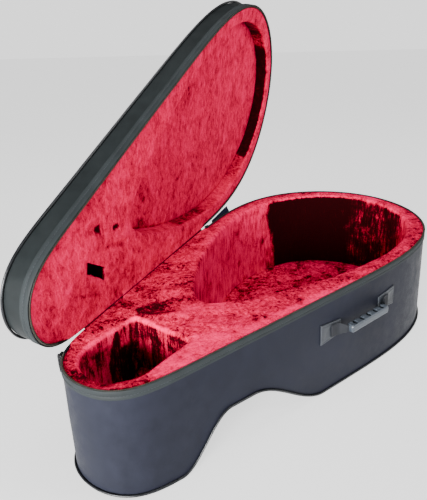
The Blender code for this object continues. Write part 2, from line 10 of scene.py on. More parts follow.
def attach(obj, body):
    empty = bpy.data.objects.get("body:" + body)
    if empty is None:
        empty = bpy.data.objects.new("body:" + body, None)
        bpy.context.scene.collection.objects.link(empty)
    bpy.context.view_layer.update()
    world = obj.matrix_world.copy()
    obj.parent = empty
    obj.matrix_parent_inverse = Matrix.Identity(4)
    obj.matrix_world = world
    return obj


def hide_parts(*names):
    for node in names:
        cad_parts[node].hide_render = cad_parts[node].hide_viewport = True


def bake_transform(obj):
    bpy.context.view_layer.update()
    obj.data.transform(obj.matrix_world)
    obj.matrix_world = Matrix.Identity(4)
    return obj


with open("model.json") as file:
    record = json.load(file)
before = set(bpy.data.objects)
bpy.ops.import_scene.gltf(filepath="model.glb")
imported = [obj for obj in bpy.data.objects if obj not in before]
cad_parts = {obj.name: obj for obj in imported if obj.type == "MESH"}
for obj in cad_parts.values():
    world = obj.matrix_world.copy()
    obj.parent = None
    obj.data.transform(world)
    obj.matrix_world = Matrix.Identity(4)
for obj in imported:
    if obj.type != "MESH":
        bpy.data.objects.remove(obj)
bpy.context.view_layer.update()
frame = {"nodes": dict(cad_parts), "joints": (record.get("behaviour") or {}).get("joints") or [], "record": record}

# The case as the solids have it. Case frame: origin at the narrow tip in the plane of the
# base's rim, +X to the wide end, +Y to the hinge side, +Z to the lid side.
LENGTH = 0.820
HALF_WIDTH = 0.196
OUTLINE_SHAPE = (0.913, -0.206, 0.072, 0.036, 0.0055, 0.0106, 0.0045, 0.0019)
TIP_DEPTH = 0.161
RIM_SLOPE = math.radians(2.0)
REST_X = 0.560
WALL_FLARE = 0.028
LID_DEPTH = 0.0405
NOTCH_HEIGHT = 0.069
FOOT_END = 0.073
NOTCH_FOOT_SIDE = 0.157
NOTCH_BOWL_SIDE = 0.196
BOWL_START = 0.338
COVER = 0.0015
GAP = 0.0003
RIM_SETBACK = 0.0008
LIP_OFFSET = -0.0018
HINGE_LIPS = (0.0007, 0.0010)
BODY_OFFSET = -0.0081
LID_BODY_OFFSET = -0.0061
LEDGE = -0.002
EDGE_ROLL = 0.006
LID_EDGE_ROLL = 0.004
PAD_TOP = 0.0201
PAD_LOW = 0.0084
LID_GAP = 0.0014
LID_RIM = LID_GAP + RIM_SETBACK
LID_LEDGE = LID_RIM + 0.002
LID_ROOF = LID_GAP + LID_DEPTH
LID_CEILING = LID_LEDGE + 0.026
LID_BACK = LID_ROOF - 0.0065
TAPE_HEIGHT = 0.013
PIPING_RADIUS = 0.0018
PIPING_INSET = 0.001
CAVITY_START = 0.236
CAVITY_TAIL_LEDGE = 0.024
CAVITY_SHAPE = (0.1533, -0.0293, -0.0039)
RECESS_START = 0.228
RECESS_GROWTH = 0.004
WELL = (0.019, 0.145, 0.051, 0.046)
BASE_SPLIT = 0.168
LID_SPLIT = 0.175
POCKET_CORNERS = ((113.0, -17.0), (106.0, 8.0), (145.0, 54.0), (153.0, 25.0))
POCKET_DEPTH = 0.026
HINGE_CHORD = (0.112, 0.262)
HINGE_SPAN = (0.082, 0.453)
HINGE_CLEARANCE = 0.0004
OPEN_ANGLE = math.radians(80.0)
SLIDER_X = (0.030, 0.480)

# The photograph's view, in the case frame
CAMERA_PLACE = (-0.2748, -0.4360, 0.3754)
CAMERA_YAW = math.radians(38.812)
CAMERA_PITCH = math.radians(-23.85)
CAMERA_ROLL = math.radians(-2.767)
FOCAL_PIXELS = 513.6
FRAME_HEIGHT = 500.0
SENSOR = 36.0

# Places and curves


def case_matrix():
    tilt = Matrix.Rotation(-RIM_SLOPE, 4, "Y")
    rest = tilt @ Vector((REST_X, 0.0, -(TIP_DEPTH + REST_X * math.tan(RIM_SLOPE))))
    return Matrix.Translation(-rest) @ tilt


CASE = case_matrix()


def joint_row(name):
    return next(row for row in frame["joints"] if row["name"] == name)


def lid_matrix():
    """The lid is modelled closed, in the case frame, and turned open about its hinge."""
    row = joint_row("lid_hinge")
    point = Vector(row["pos_m"])
    turn = Matrix.Rotation(-OPEN_ANGLE, 4, Vector(row["axis"]))
    return Matrix.Translation(point) @ turn @ Matrix.Translation(-point) @ CASE


LID = lid_matrix()


def pear(angle, offset, start, length, shares):
    """Points and outward normals of a pear outline: a cosine along X, a sine series across."""
    angle = np.asarray(angle, float)
    x = start + 0.5 * length * (1.0 - np.cos(angle))
    dx = 0.5 * length * np.sin(angle)
    y = np.zeros_like(angle)
    dy = np.zeros_like(angle)
    for order, share in enumerate(shares, start=1):
        y = y + share * np.sin(order * angle)
        dy = dy + share * order * np.cos(order * angle)
    size = np.hypot(dx, dy)
    out = np.stack([-dy / size, dx / size], -1)
    place = np.stack([x, y], -1) + np.asarray(offset, float)[..., None] * out
    return place, out


def outline(angle, offset=0.0):
    shares = [HALF_WIDTH * share for share in OUTLINE_SHAPE]
    return pear(angle, offset, 0.0, LENGTH, shares)


def cavity(angle, offset=0.0):
    length = LENGTH - CAVITY_TAIL_LEDGE - CAVITY_START
    return pear(angle, offset, CAVITY_START, length, CAVITY_SHAPE)


def recess(angle, offset=0.0):
    length = LENGTH - CAVITY_TAIL_LEDGE - RECESS_START
    grown = np.asarray(offset, float) + RECESS_GROWTH
    return pear(angle, grown, RECESS_START, length, CAVITY_SHAPE)


def even_angles(curve, count):
    """Angles that split a closed curve into equal lengths."""
    dense = np.linspace(0.0, 2.0 * np.pi, 4001)
    points, _ = curve(dense)
    steps = np.hypot(*np.diff(points, axis=0).T)
    run = np.concatenate([[0.0], np.cumsum(steps)])
    return np.interp(np.linspace(0.0, run[-1], count, endpoint=False), run, dense)


def even_loop(corners, count):
    """A closed polyline resampled to points at equal lengths."""
    closed = np.vstack([corners, corners[:1]])
    run = np.concatenate([[0.0], np.cumsum(np.hypot(*np.diff(closed, axis=0).T))])
    where = np.linspace(0.0, run[-1], count, endpoint=False)
    return np.stack([np.interp(where, run, closed[:, axis]) for axis in (0, 1)], -1)


def loop_normals(points):
    along = np.roll(points, -1, axis=0) - np.roll(points, 1, axis=0)
    along /= np.linalg.norm(along, axis=1)[:, None]
    return np.stack([-along[:, 1], along[:, 0]], -1)


def rounded_corner(corner, radius, start, count=7):
    """Points of a quarter circle inside a corner, turning clockwise from a start angle."""
    turns = start - np.linspace(0.0, 0.5 * np.pi, count)
    return [(corner[0] + radius * math.cos(turn), corner[1] + radius * math.sin(turn))
            for turn in turns]


def well_loop(count):
    start, end, half_width, nose = WELL
    radius = 0.007
    half = [(start + nose * (1.0 - math.cos(turn)), half_width * math.sin(turn))
            for turn in np.linspace(0.0, 0.5 * np.pi, 24)]
    half += rounded_corner((end - radius, half_width - radius), radius, 0.5 * np.pi)
    other = [(x, -y) for x, y in reversed(half[1:])]
    return even_loop(np.array(half + other), count)


def pocket_loop(count):
    """Slanted opening of the accessory pocket, its corners softened by the plush."""
    loop = even_loop(0.001 * np.array(POCKET_CORNERS[::-1]), count)
    for settle in range(5):
        loop = 0.25 * np.roll(loop, 1, axis=0) + 0.5 * loop + 0.25 * np.roll(loop, -1, axis=0)
    ragged = 0.0010 * ripple(upright(loop, 0.0), 120.0, 66.0)
    return loop + ragged[:, None] * loop_normals(loop)


def smooth(value, start, end):
    t = np.clip((value - start) / (end - start), 0.0, 1.0)
    return t * t * (3.0 - 2.0 * t)


def underside(x):
    rise = smooth(x, FOOT_END, NOTCH_FOOT_SIDE) * (1.0 - smooth(x, NOTCH_BOWL_SIDE, BOWL_START))
    return -(TIP_DEPTH + x * math.tan(RIM_SLOPE)) + NOTCH_HEIGHT * rise


RIM_ANGLES = np.linspace(0.0, 2.0 * np.pi, 1441)[:-1]
RIM_POINTS = outline(RIM_ANGLES)[0]


def rim_distance(places):
    """Distance of plan points from the outline."""
    flat = places.reshape(-1, 2)
    best = np.full(len(flat), 1.0)
    for block in np.array_split(RIM_POINTS, 12):
        gaps = np.linalg.norm(flat[:, None, :] - block[None, :, :], axis=2).min(axis=1)
        best = np.minimum(best, gaps)
    return best.reshape(places.shape[:-1])


def ripple(places, scale, seed=0.0, stretch=(1.0, 1.0, 1.0)):
    """Smooth noise between about -1 and 1 at an array of points; scale is in waves per metre."""
    factors = np.array(stretch) * scale
    shift = np.array([seed * 7.31, seed * 3.17, seed * 5.93])
    flat = places.reshape(-1, 3) * factors + shift
    values = [noise.noise(Vector(point)) for point in flat]
    return np.array(values).reshape(places.shape[:-1])


# Meshes


def make_piece(name, points, faces, look, matrix, body, nodes=(), sharp=None):
    mesh = bpy.data.meshes.new(name)
    mesh.from_pydata([tuple(point) for point in points], [], faces)
    work = bmesh.new()
    work.from_mesh(mesh)
    bmesh.ops.recalc_face_normals(work, faces=work.faces)
    work.to_mesh(mesh)
    work.free()
    mesh.shade_smooth()
    if sharp is not None:
        mesh.set_sharp_from_angle(angle=math.radians(sharp))
    mesh.materials.append(look)
    item = bpy.data.objects.new(name, mesh)
    item.matrix_world = matrix
    bpy.context.collection.objects.link(item)
    if body:
        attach(item, body)
    if nodes:
        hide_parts(*nodes)
    return item


def paint(item, values):
    """Set the pile's patches, with painted light and shade, on each vertex of a velvet piece."""
    store = item.data.attributes.new("nap_and_painted_light", "FLOAT", "POINT")
    store.data.foreach_set("value", np.asarray(values, np.float32).ravel())


def grid_faces(rows, columns, close_rows, close_columns=True, start=0):
    faces = []
    for i in range(rows if close_rows else rows - 1):
        k = (i + 1) % rows
        for j in range(columns if close_columns else columns - 1):
            m = (j + 1) % columns
            quad = (i * columns + j, i * columns + m, k * columns + m, k * columns + j)
            faces.append(tuple(start + index for index in quad))
    return faces


def ring_piece(name, rows, look, matrix, body, nodes=(), sharp=None):
    """A closed ring; rows has one (columns, 3) array for each line of its section."""
    points = np.concatenate(rows)
    faces = grid_faces(len(rows), len(rows[0]), True)
    return make_piece(name, points, faces, look, matrix, body, nodes, sharp)


def upright(place, height):
    height = np.broadcast_to(np.asarray(height, float), place.shape[:-1])
    return np.concatenate([place, height[..., None]], -1)


def lens_grid(curve, rows, columns, offset=0.0):
    """Grid over a pear outline: rows along X, columns across from the -Y to the +Y edge."""
    angle = np.linspace(0.0, np.pi, rows + 2)[1:-1]
    offset = np.asarray(offset(angle) if callable(offset) else offset, float)
    place, _ = curve(angle, offset)
    across = np.sin(np.linspace(-0.5, 0.5, columns) * np.pi)
    across = 0.35 * across + 0.65 * np.linspace(-1.0, 1.0, columns)
    x = np.repeat(place[:, :1], columns, axis=1)
    y = place[:, 1:2] * across[None, :]
    return np.stack([x, y], -1)


def slab_piece(name, top, bottom, look, matrix, body, nodes=(), sharp=None):
    """Closed slab between two grids of the same size, rows along X."""
    rows, columns = top.shape[:2]
    count = rows * columns
    points = np.concatenate([top.reshape(-1, 3), bottom.reshape(-1, 3)])
    faces = grid_faces(rows, columns, False, False)
    faces += [face[::-1] for face in grid_faces(rows, columns, False, False, start=count)]
    edge = [j for j in range(columns)]
    edge += [i * columns + columns - 1 for i in range(1, rows)]
    edge += [(rows - 1) * columns + j for j in range(columns - 2, -1, -1)]
    edge += [i * columns for i in range(rows - 2, 0, -1)]
    for a, b in zip(edge, edge[1:] + edge[:1]):
        faces.append((a, b, b + count, a + count))
    return make_piece(name, points, faces, look, matrix, body, nodes, sharp)


# Materials


class Look:
    """A node material under construction, with object space as its only coordinates."""

    def __init__(self, name, roughness, specular=0.5):
        self.made = bpy.data.materials.new(name)
        self.made.use_nodes = True
        self.tree = self.made.node_tree
        self.shader = self.tree.nodes["Principled BSDF"]
        self.shader.inputs["Roughness"].default_value = roughness
        self.shader.inputs["Specular IOR Level"].default_value = specular
        self.place = self.tree.nodes.new("ShaderNodeTexCoord").outputs["Object"]

    def link(self, source, node, socket):
        if hasattr(source, "links"):
            self.tree.links.new(source, node.inputs[socket])
        else:
            node.inputs[socket].default_value = source

    def math(self, operation, first, second=0.0, clamp=False):
        node = self.tree.nodes.new("ShaderNodeMath")
        node.operation = operation
        node.use_clamp = clamp
        self.link(first, node, 0)
        self.link(second, node, 1)
        return node.outputs[0]

    def stretched(self, factors, turn=(0.0, 0.0, 0.0), source=None):
        node = self.tree.nodes.new("ShaderNodeMapping")
        node.inputs["Scale"].default_value = factors
        node.inputs["Rotation"].default_value = turn
        self.link(source or self.place, node, "Vector")
        return node.outputs["Vector"]

    def noise(self, scale, detail=3.0, rough=0.5, source=None, bend=0.0):
        node = self.tree.nodes.new("ShaderNodeTexNoise")
        node.inputs["Scale"].default_value = scale
        node.inputs["Detail"].default_value = detail
        node.inputs["Roughness"].default_value = rough
        node.inputs["Distortion"].default_value = bend
        self.link(source or self.place, node, "Vector")
        return node.outputs["Fac"]

    def cells(self, scale, source=None):
        node = self.tree.nodes.new("ShaderNodeTexVoronoi")
        node.inputs["Scale"].default_value = scale
        self.link(source or self.place, node, "Vector")
        return node.outputs["Distance"]

    def ramp(self, source, stops):
        node = self.tree.nodes.new("ShaderNodeValToRGB")
        elements = node.color_ramp.elements
        while len(elements) < len(stops):
            elements.new(0.5)
        for element, (place, colour) in zip(elements, stops):
            element.position = place
            element.color = (*colour, 1.0)
        self.link(source, node, "Fac")
        return node.outputs["Color"]

    def between(self, source, low, high, to_low=0.0, to_high=1.0):
        node = self.tree.nodes.new("ShaderNodeMapRange")
        node.clamp = True
        self.link(source, node, "Value")
        for socket, value in (("From Min", low), ("From Max", high), ("To Min", to_low),
                              ("To Max", to_high)):
            node.inputs[socket].default_value = value
        return node.outputs["Result"]

    def mix(self, factor, first, second, kind="MIX"):
        node = self.tree.nodes.new("ShaderNodeMix")
        node.data_type = "RGBA"
        node.blend_type = kind
        self.link(factor, node, 0)
        for source, socket in ((first, 6), (second, 7)):
            if isinstance(source, tuple):
                node.inputs[socket].default_value = (*source, 1.0)
            else:
                self.tree.links.new(source, node.inputs[socket])
        return node.outputs[2]

    def facing(self, blend):
        node = self.tree.nodes.new("ShaderNodeLayerWeight")
        node.inputs["Blend"].default_value = blend
        return node.outputs["Facing"]

    def normal_part(self, axis):
        """How far the surface faces along an axis of the object, as a size from 0 to 1."""
        node = self.tree.nodes.new("ShaderNodeSeparateXYZ")
        self.link(self.tree.nodes.new("ShaderNodeTexCoord").outputs["Normal"], node, "Vector")
        return self.math("ABSOLUTE", node.outputs[axis])

    def colour(self, source):
        self.link(source, self.shader, "Base Color")

    def roughness(self, source):
        self.link(source, self.shader, "Roughness")

    def bumps(self, *layers):
        """Bump layers of (height, strength, distance), one over the other."""
        last = None
        for height, strength, distance in layers:
            node = self.tree.nodes.new("ShaderNodeBump")
            node.inputs["Strength"].default_value = strength
            node.inputs["Distance"].default_value = distance
            self.link(height, node, "Height")
            if last:
                self.tree.links.new(last, node.inputs["Normal"])
            last = node.outputs["Normal"]
        self.tree.links.new(last, self.shader.inputs["Normal"])

    def sheen(self, weight, roughness, tint):
        self.shader.inputs["Sheen Weight"].default_value = weight
        self.shader.inputs["Sheen Roughness"].default_value = roughness
        self.shader.inputs["Sheen Tint"].default_value = (*tint, 1.0)


def velvet(name, brushed, contrast=2.6, lift=0.0, grain=1.0):
    """Crushed velvet: brushed streaks and blotches of the pile, with painted light and shade.

    brushed stretches the streaks: small along the direction in which the pile was stroked.
    lift moves a whole piece lighter or darker. Each piece's own per-vertex values, below 0
    darker and above it lighter, hold pile patches and painted light and shade: lit walls and
    ledges painted lighter, walls turned from the light, creases, dimples and hollows painted
    darker, and painted highlights on rolled edges.
    """
    look = Look(name, 0.90, 0.03)
    node = look.tree.nodes.new("ShaderNodeAttribute")
    node.attribute_name = "nap_and_painted_light"
    nap_and_painted_light = node.outputs["Fac"]
    blotch = look.noise(26.0, 5.0, 0.60, bend=1.0)
    streak = look.noise(170.0, 4.0, 0.62, look.stretched(brushed), bend=0.8)
    tuft = look.noise(620.0, 2.0, 0.60, look.stretched([0.5 + 0.5 * part for part in brushed]))
    level = look.math("MULTIPLY", blotch, 0.34)
    level = look.math("ADD", level, look.math("MULTIPLY", streak, 0.44))
    level = look.math("ADD", level, look.math("MULTIPLY", tuft, 0.22))
    level = look.math("MULTIPLY", look.math("SUBTRACT", level, 0.5), contrast)
    level = look.math("ADD", look.math("ADD", level, 0.5 + lift), nap_and_painted_light)
    pile = look.ramp(level, (
        (0.08, (0.012, 0.0000, 0.0006)),
        (0.27, (0.034, 0.0001, 0.002)),
        (0.36, (0.15, 0.0003, 0.010)),
        (0.45, (0.36, 0.0003, 0.026)),
        (0.58, (0.60, 0.0004, 0.052)),
        (0.85, (0.92, 0.0008, 0.110)),
    ))
    look.colour(pile)
    look.sheen(0.03, 0.30, (1.0, 0.03, 0.16))
    look.bumps((blotch, 0.45, 0.005), (streak, 0.65, 0.0020 * grain), (tuft, 0.5, 0.0007 * grain))
    return look.made


def vinyl(name, tone, wear=0.0):
    """Satin coated cover cloth: fine grain, broad faint mottling and a dusty bloom."""
    look = Look(name, 0.50, 0.07)
    broad = look.noise(7.0, 4.0, 0.55, bend=0.4)
    spots = look.noise(55.0, 4.0, 0.65)
    grain = look.noise(1500.0, 2.0, 0.6)
    leather = look.cells(900.0)
    level = look.math("ADD", look.math("MULTIPLY", broad, 0.6), look.math("MULTIPLY", spots, 0.4))
    low = tuple(0.72 * part for part in tone)
    high = tuple(1.28 * part for part in tone)
    base = look.ramp(level, ((0.32, low), (0.50, tone), (0.68, high)))
    dust = look.between(look.noise(19.0, 6.0, 0.7), 0.52, 0.75, 0.0, 0.35 + wear)
    look.colour(look.mix(dust, base, tuple(1.4 * part + 0.002 for part in tone)))
    look.roughness(look.between(spots, 0.3, 0.7, 0.38, 0.56))
    look.bumps((broad, 0.25, 0.004), (leather, 0.18, 0.00035), (grain, 0.22, 0.0002))
    return look.made


def woven(name, tone, threads=1400.0, shine=0.2):
    """Close woven tape: crossing threads with a soft, slightly uneven colour."""
    look = Look(name, 0.72, shine)
    waves = []
    for turn in (0.25 * math.pi, -0.25 * math.pi):
        node = look.tree.nodes.new("ShaderNodeTexWave")
        node.inputs["Scale"].default_value = threads / 5.0
        node.inputs["Distortion"].default_value = 1.2
        node.inputs["Detail"].default_value = 1.0
        look.link(look.stretched((1.0, 1.0, 1.0), (turn, 0.4 * turn, turn)), node, "Vector")
        waves.append(node.outputs["Fac"])
    weave = look.math("MULTIPLY", waves[0], waves[1])
    patches = look.noise(34.0, 4.0, 0.6)
    low = tuple(0.55 * part for part in tone)
    high = tuple(1.45 * part for part in tone)
    base = look.ramp(look.math("ADD", look.math("MULTIPLY", weave, 0.12),
                               look.math("MULTIPLY", patches, 0.88)),
                     ((0.25, low), (0.48, tone), (0.72, high)))
    look.colour(base)
    look.roughness(look.between(patches, 0.35, 0.65, 0.62, 0.82))
    look.sheen(0.04, 0.5, tuple(min(1.0, 12.0 * part) for part in tone))
    look.bumps((patches, 0.2, 0.001), (weave, 0.3, 0.0002))
    return look.made


def moulded(name, tone, roughness=0.42, shine=0.45, metallic=0.0, scuffs=0.3):
    """Moulded or enamelled surface: fine orange peel, scuffs and slightly rubbed patches."""
    look = Look(name, roughness, shine)
    look.shader.inputs["Metallic"].default_value = metallic
    peel = look.noise(700.0, 3.0, 0.5)
    rubbed = look.noise(60.0, 5.0, 0.7)
    scratch = look.noise(240.0, 3.0, 0.6, look.stretched((0.12, 1.0, 1.0)))
    base = look.ramp(rubbed, ((0.35, tuple(0.75 * part for part in tone)),
                              (0.55, tone), (0.72, tuple(1.4 * part for part in tone))))
    look.colour(look.mix(look.between(scratch, 0.60, 0.70, 0.0, scuffs), base,
                         tuple(1.9 * part for part in tone)))
    look.roughness(look.between(rubbed, 0.35, 0.7, roughness - 0.08, roughness + 0.14))
    look.bumps((peel, 0.15, 0.0003), (scratch, 0.08, 0.0002))
    return look.made


def plywood(name):
    """Bare birch plywood: long figure on the faces and thin darker plies."""
    look = Look(name, 0.68, 0.3)
    figure = look.noise(26.0, 6.0, 0.6, look.stretched((0.15, 1.0, 0.6)), bend=1.5)
    pores = look.noise(420.0, 3.0, 0.6, look.stretched((0.08, 1.0, 1.0)))
    base = look.ramp(figure, ((0.30, (0.40, 0.26, 0.13)), (0.50, (0.56, 0.39, 0.21)),
                              (0.70, (0.66, 0.49, 0.29))))
    look.colour(look.mix(look.between(pores, 0.55, 0.75, 0.0, 0.45), base, (0.30, 0.19, 0.10)))
    look.roughness(look.between(figure, 0.3, 0.7, 0.60, 0.78))
    look.bumps((pores, 0.3, 0.0003), (figure, 0.1, 0.001))
    return look.made


LOOKS = {
    # By their fourth argument the floor's velvet is set a little darker and the lid's lighter, as lit: painted
    # light and shade on copies of one velvet.
    "cavity": velvet("velvet_cavity", (1.0, 1.0, 0.20)),
    "floor": velvet("velvet_floor", (0.8, 0.8, 0.8), 3.4, -0.03),
    "well": velvet("velvet_well", (1.0, 1.0, 0.16)),
    "lid": velvet("velvet_lid", (1.0, 0.45, 0.70), 1.7, 0.07, 0.9),
    "cover": vinyl("cover_cloth", (0.0105, 0.0115, 0.018)),
    "lid_cover": vinyl("lid_cover_cloth", (0.0095, 0.0115, 0.012)),
    "tape": woven("zip_tape", (0.011, 0.014, 0.015)),
    "hinge": woven("hinge_cloth", (0.004, 0.003, 0.004), shine=0.05),
    "tab": woven("zip_end_cloth", (0.005, 0.006, 0.016), shine=0.05),
    "webbing": woven("handle_webbing", (0.012, 0.013, 0.016), 900.0),
    "thread": woven("seam_thread", (0.030, 0.033, 0.038), 2600.0),
    "coil": moulded("nylon_coil", (0.022, 0.019, 0.013), 0.50, 0.3),
    "piping": moulded("vinyl_piping", (0.0045, 0.0050, 0.0065), 0.38, 0.4),
    "patch": moulded("handle_patch", (0.018, 0.021, 0.027), 0.46, 0.45),
    "grip": moulded("handle_grip", (0.034, 0.042, 0.054), 0.40, 0.5),
    "metal": moulded("enamelled_zinc", (0.012, 0.012, 0.014), 0.32, 0.5, 0.6),
    "shell": plywood("bare_plywood"),
}


# Covers, piping, tapes and zip coils


def skin(angles, rows, low_offset=0.0):
    """Grid down the base's outer wall, from the rim to the bottom, with its normals."""
    share = np.linspace(0.0, 1.0, rows)[:, None]
    angle = np.broadcast_to(angles[None, :], (rows, len(angles)))
    top = -RIM_SETBACK
    place, out = outline(angle, 0.0)
    for settle in range(3):
        height = top + share * (underside(place[..., 0]) - top)
        place, out = outline(angle, -WALL_FLARE * height + low_offset)
    height = top + share * (underside(place[..., 0]) - top)
    return upright(place, height), upright(out, WALL_FLARE)


def wall_waviness(points, out, angles):
    """Slack in the cover cloth, and the creases gathered under the tape at the narrow end."""
    height = points[..., 2]
    x = points[..., 0]
    low = height - underside(x)
    quiet = smooth(-height, 0.014, 0.030) * smooth(low, 0.004, 0.020)
    patch = np.hypot((x - 0.425) / 0.13, (height + 0.066) / 0.035)
    quiet = quiet * np.where(points[..., 1] < 0.0, smooth(patch, 0.7, 1.3), 1.0)
    slack = 0.00050 * ripple(points, 13.0, 1.0, (1.0, 1.0, 0.7))
    slack += 0.00022 * ripple(points, 38.0, 2.0, (1.0, 1.0, 0.5))
    end = smooth(0.16 - x, 0.0, 0.10)
    folds = ripple(points, 9.0, 3.0, (1.0, 1.0, 9.0)) * (1.0 - smooth(-height, 0.020, 0.075))
    slack += 0.0012 * end * np.abs(folds) * ripple(points, 22.0, 4.0)
    tail = smooth(x, 0.70, 0.80)
    slack += 0.0005 * tail * ripple(points, 20.0, 5.0, (1.0, 1.0, 3.0))
    return points + (slack * quiet)[..., None] * out


def base_cover():
    angles = even_angles(outline, 520)
    points, out = skin(angles, 30)
    points = wall_waviness(points, out, angles)
    inner_low, _ = skin(angles, 2, -COVER)
    inner = [inner_low[1], inner_low[0]]
    ring_piece("base_cover_cloth", list(points) + inner, LOOKS["cover"], CASE, "base",
               ["base_cover_wall"], sharp=60.0)


def bottom_curve(angle, offset):
    place, out = outline(angle, offset)
    for settle in range(3):
        place, out = outline(angle, offset - WALL_FLARE * underside(place[..., 0]))
    return place, out


def base_bottom():
    grid = lens_grid(bottom_curve, 120, 31, LIP_OFFSET)
    low = upright(grid, underside(grid[..., 0]))
    high = upright(grid, underside(grid[..., 0]) + COVER)
    slab_piece("base_cover_sole", high, low, LOOKS["cover"], CASE, "base",
               ["base_cover_bottom"], sharp=50.0)


def piping(name, line, out, body, matrix, node, sides=10):
    """Round piping along a closed line of points, with a slight wander of its own."""
    wander = 0.00012 * ripple(line, 60.0, 8.0)[:, None]
    rows = []
    for side in range(sides):
        turn = 2.0 * math.pi * side / sides
        arm = math.cos(turn) * upright(out, 0.0) + math.sin(turn) * np.array([0.0, 0.0, 1.0])
        rows.append(line + (PIPING_RADIUS + wander) * arm)
    return ring_piece(name, rows, LOOKS["piping"], matrix, body, [node])


def all_piping():
    angles = even_angles(outline, 520)
    reach = PIPING_RADIUS - 0.0002
    place, out = bottom_curve(angles, reach)
    height = underside(place[:, 0]) + PIPING_INSET + PIPING_RADIUS
    piping("base_piping", upright(place, height), out, "base", CASE, "base_bottom_piping")
    place, out = outline(angles, reach)
    height = LID_ROOF - PIPING_INSET - PIPING_RADIUS
    piping("lid_piping", upright(place, height), out, "lid", LID, "lid_roof_piping")


TAPE_SECTION = (
    (0.25, 0.8), (0.95, 0.75), (1.25, 1.1), (1.30, 3.4), (1.20, 7.2), (0.75, 7.9), (0.70, 8.5),
    (1.20, 9.2), (1.30, 10.4), (1.25, 12.5), (0.95, 13.1), (0.25, 13.1),
)


def zip_tape(name, body, matrix, node, flared, way):
    """Tape round a rim: a folded edge, a sewn valley and a lower strip."""
    angles = even_angles(outline, 560)
    rows = []
    for offset, drop in TAPE_SECTION:
        depth = 0.001 * drop
        flare = WALL_FLARE * depth if flared else 0.0
        place, out = outline(angles, 0.001 * offset + flare)
        height = (-depth) if way < 0 else LID_GAP + depth
        points = upright(place, height)
        if 1.0 < drop < 13.0:
            points = points + (0.00016 * ripple(points, 70.0, 11.0))[:, None] * upright(out, 0.0)
        rows.append(points)
    ring_piece(name, rows, LOOKS["tape"], matrix, body, [node], sharp=50.0)


def capsules(name, centres, alongs, outs, size, look, matrix, body):
    """Short raised stitches: one six-sided pod for each centre, long along its direction."""
    length, width, height = size
    points = []
    faces = []
    section = [(1.0, 0.0), (0.5, 0.87), (-0.5, 0.87), (-1.0, 0.0)]
    for centre, along, out in zip(centres, alongs, outs):
        side = np.cross(out, along)
        base = len(points)
        for step, shrink in ((-0.5, 0.35), (-0.32, 0.9), (0.32, 0.9), (0.5, 0.35)):
            for across, rise in section:
                points.append(centre + along * (length * step) + side * (0.5 * width * shrink
                              * across) + out * (height * (rise * shrink - 0.15)))
        for i in range(3):
            for j in range(4):
                k = (j + 1) % 4
                faces.append((base + 4 * i + j, base + 4 * i + k,
                              base + 4 * i + 4 + k, base + 4 * i + 4 + j))
        faces.append(tuple(base + j for j in (3, 2, 1, 0)))
        faces.append(tuple(base + 12 + j for j in (0, 1, 2, 3)))
    return make_piece(name, points, faces, look, matrix, body)


def rim_stitches(name, body, matrix, flared, way, drop=0.0082, pitch=0.0042):
    count = int(2.02 / pitch)
    angles = even_angles(outline, count)
    flare = WALL_FLARE * drop if flared else 0.0
    place, out = outline(angles, 0.00078 + flare)
    height = -drop if way < 0 else LID_GAP + drop
    centres = upright(place, height)
    outs = upright(out, 0.0)
    alongs = np.stack([outs[:, 1], -outs[:, 0], 0.0 * outs[:, 0]], -1)
    capsules(name, centres, alongs, outs, (0.0028, 0.0007, 0.0004), LOOKS["thread"], matrix,
             body)


def zipped(count):
    """Outline angles at even steps along the zip: all the rim but the hinge span."""
    first = math.acos(1.0 - 2.0 * SLIDER_X[1] / LENGTH)
    last = 2.0 * math.pi + math.acos(1.0 - 2.0 * SLIDER_X[0] / LENGTH)
    dense = np.linspace(first, last, 4001)
    points, _ = outline(dense)
    run = np.concatenate([[0.0], np.cumsum(np.hypot(*np.diff(points, axis=0).T))])
    return np.interp(np.linspace(0.0, run[-1], count), run, dense)


def open_tube(name, rows, look, matrix, body, nodes=()):
    """Closed tube along an open line; rows has one array for each line of its section."""
    sides = len(rows)
    count = len(rows[0])
    points = np.concatenate(rows)
    faces = grid_faces(sides, count, True, False)
    faces.append(tuple(side * count for side in range(sides)))
    faces.append(tuple(side * count + count - 1 for side in reversed(range(sides))))
    return make_piece(name, points, faces, look, matrix, body, nodes)


def zip_coil(name, body, matrix, node, height, offset, radius, turns=760, steps=8):
    """Nylon coil sewn along a rim: a fine helix wound on a flat cord."""
    count = turns * steps
    place, out = outline(zipped(count), offset)
    centre = upright(place, height)
    outs = upright(out, 0.0)
    up = np.array([0.0, 0.0, 1.0])
    phase = 2.0 * np.pi * np.arange(count) / steps
    line = centre + radius * (np.cos(phase)[:, None] * outs
                              + 0.42 * np.sin(phase)[:, None] * up)
    along = np.stack([outs[:, 1], -outs[:, 0], 0.0 * outs[:, 0]], -1)
    rows = []
    for side in range(3):
        turn = 2.0 * math.pi * side / 3.0
        arm = math.cos(turn) * (np.cos(phase)[:, None] * outs + np.sin(phase)[:, None] * up)
        rows.append(line + 0.00036 * (arm + math.sin(turn) * along))
    open_tube(name, rows, LOOKS["coil"], matrix, body, [node])
    place, out = outline(zipped(480), offset)
    centre = upright(place, height)
    rows = []
    for side in range(6):
        turn = 2.0 * math.pi * side / 6.0
        arm = 0.85 * radius * math.cos(turn) * upright(out, 0.0)
        rows.append(centre + arm + np.array([0.0, 0.0, 0.34 * radius * math.sin(turn)]))
    open_tube(name + "_core", rows, LOOKS["coil"], matrix, body)


def all_rims():
    zip_tape("base_tape", "base", CASE, "base_zip_tape", True, -1)
    zip_tape("lid_tape", "lid", LID, "lid_zip_tape", False, 1)
    rim_stitches("base_tape_stitches", "base", CASE, True, -1)
    rim_stitches("lid_tape_stitches", "lid", LID, False, 1)
    zip_coil("base_coil", "base", CASE, "base_zip_coil", -0.0005, -0.0009, 0.0012)
    zip_coil("lid_coil", "lid", LID, "lid_zip_coil", 0.0020, -0.0022, 0.0015)


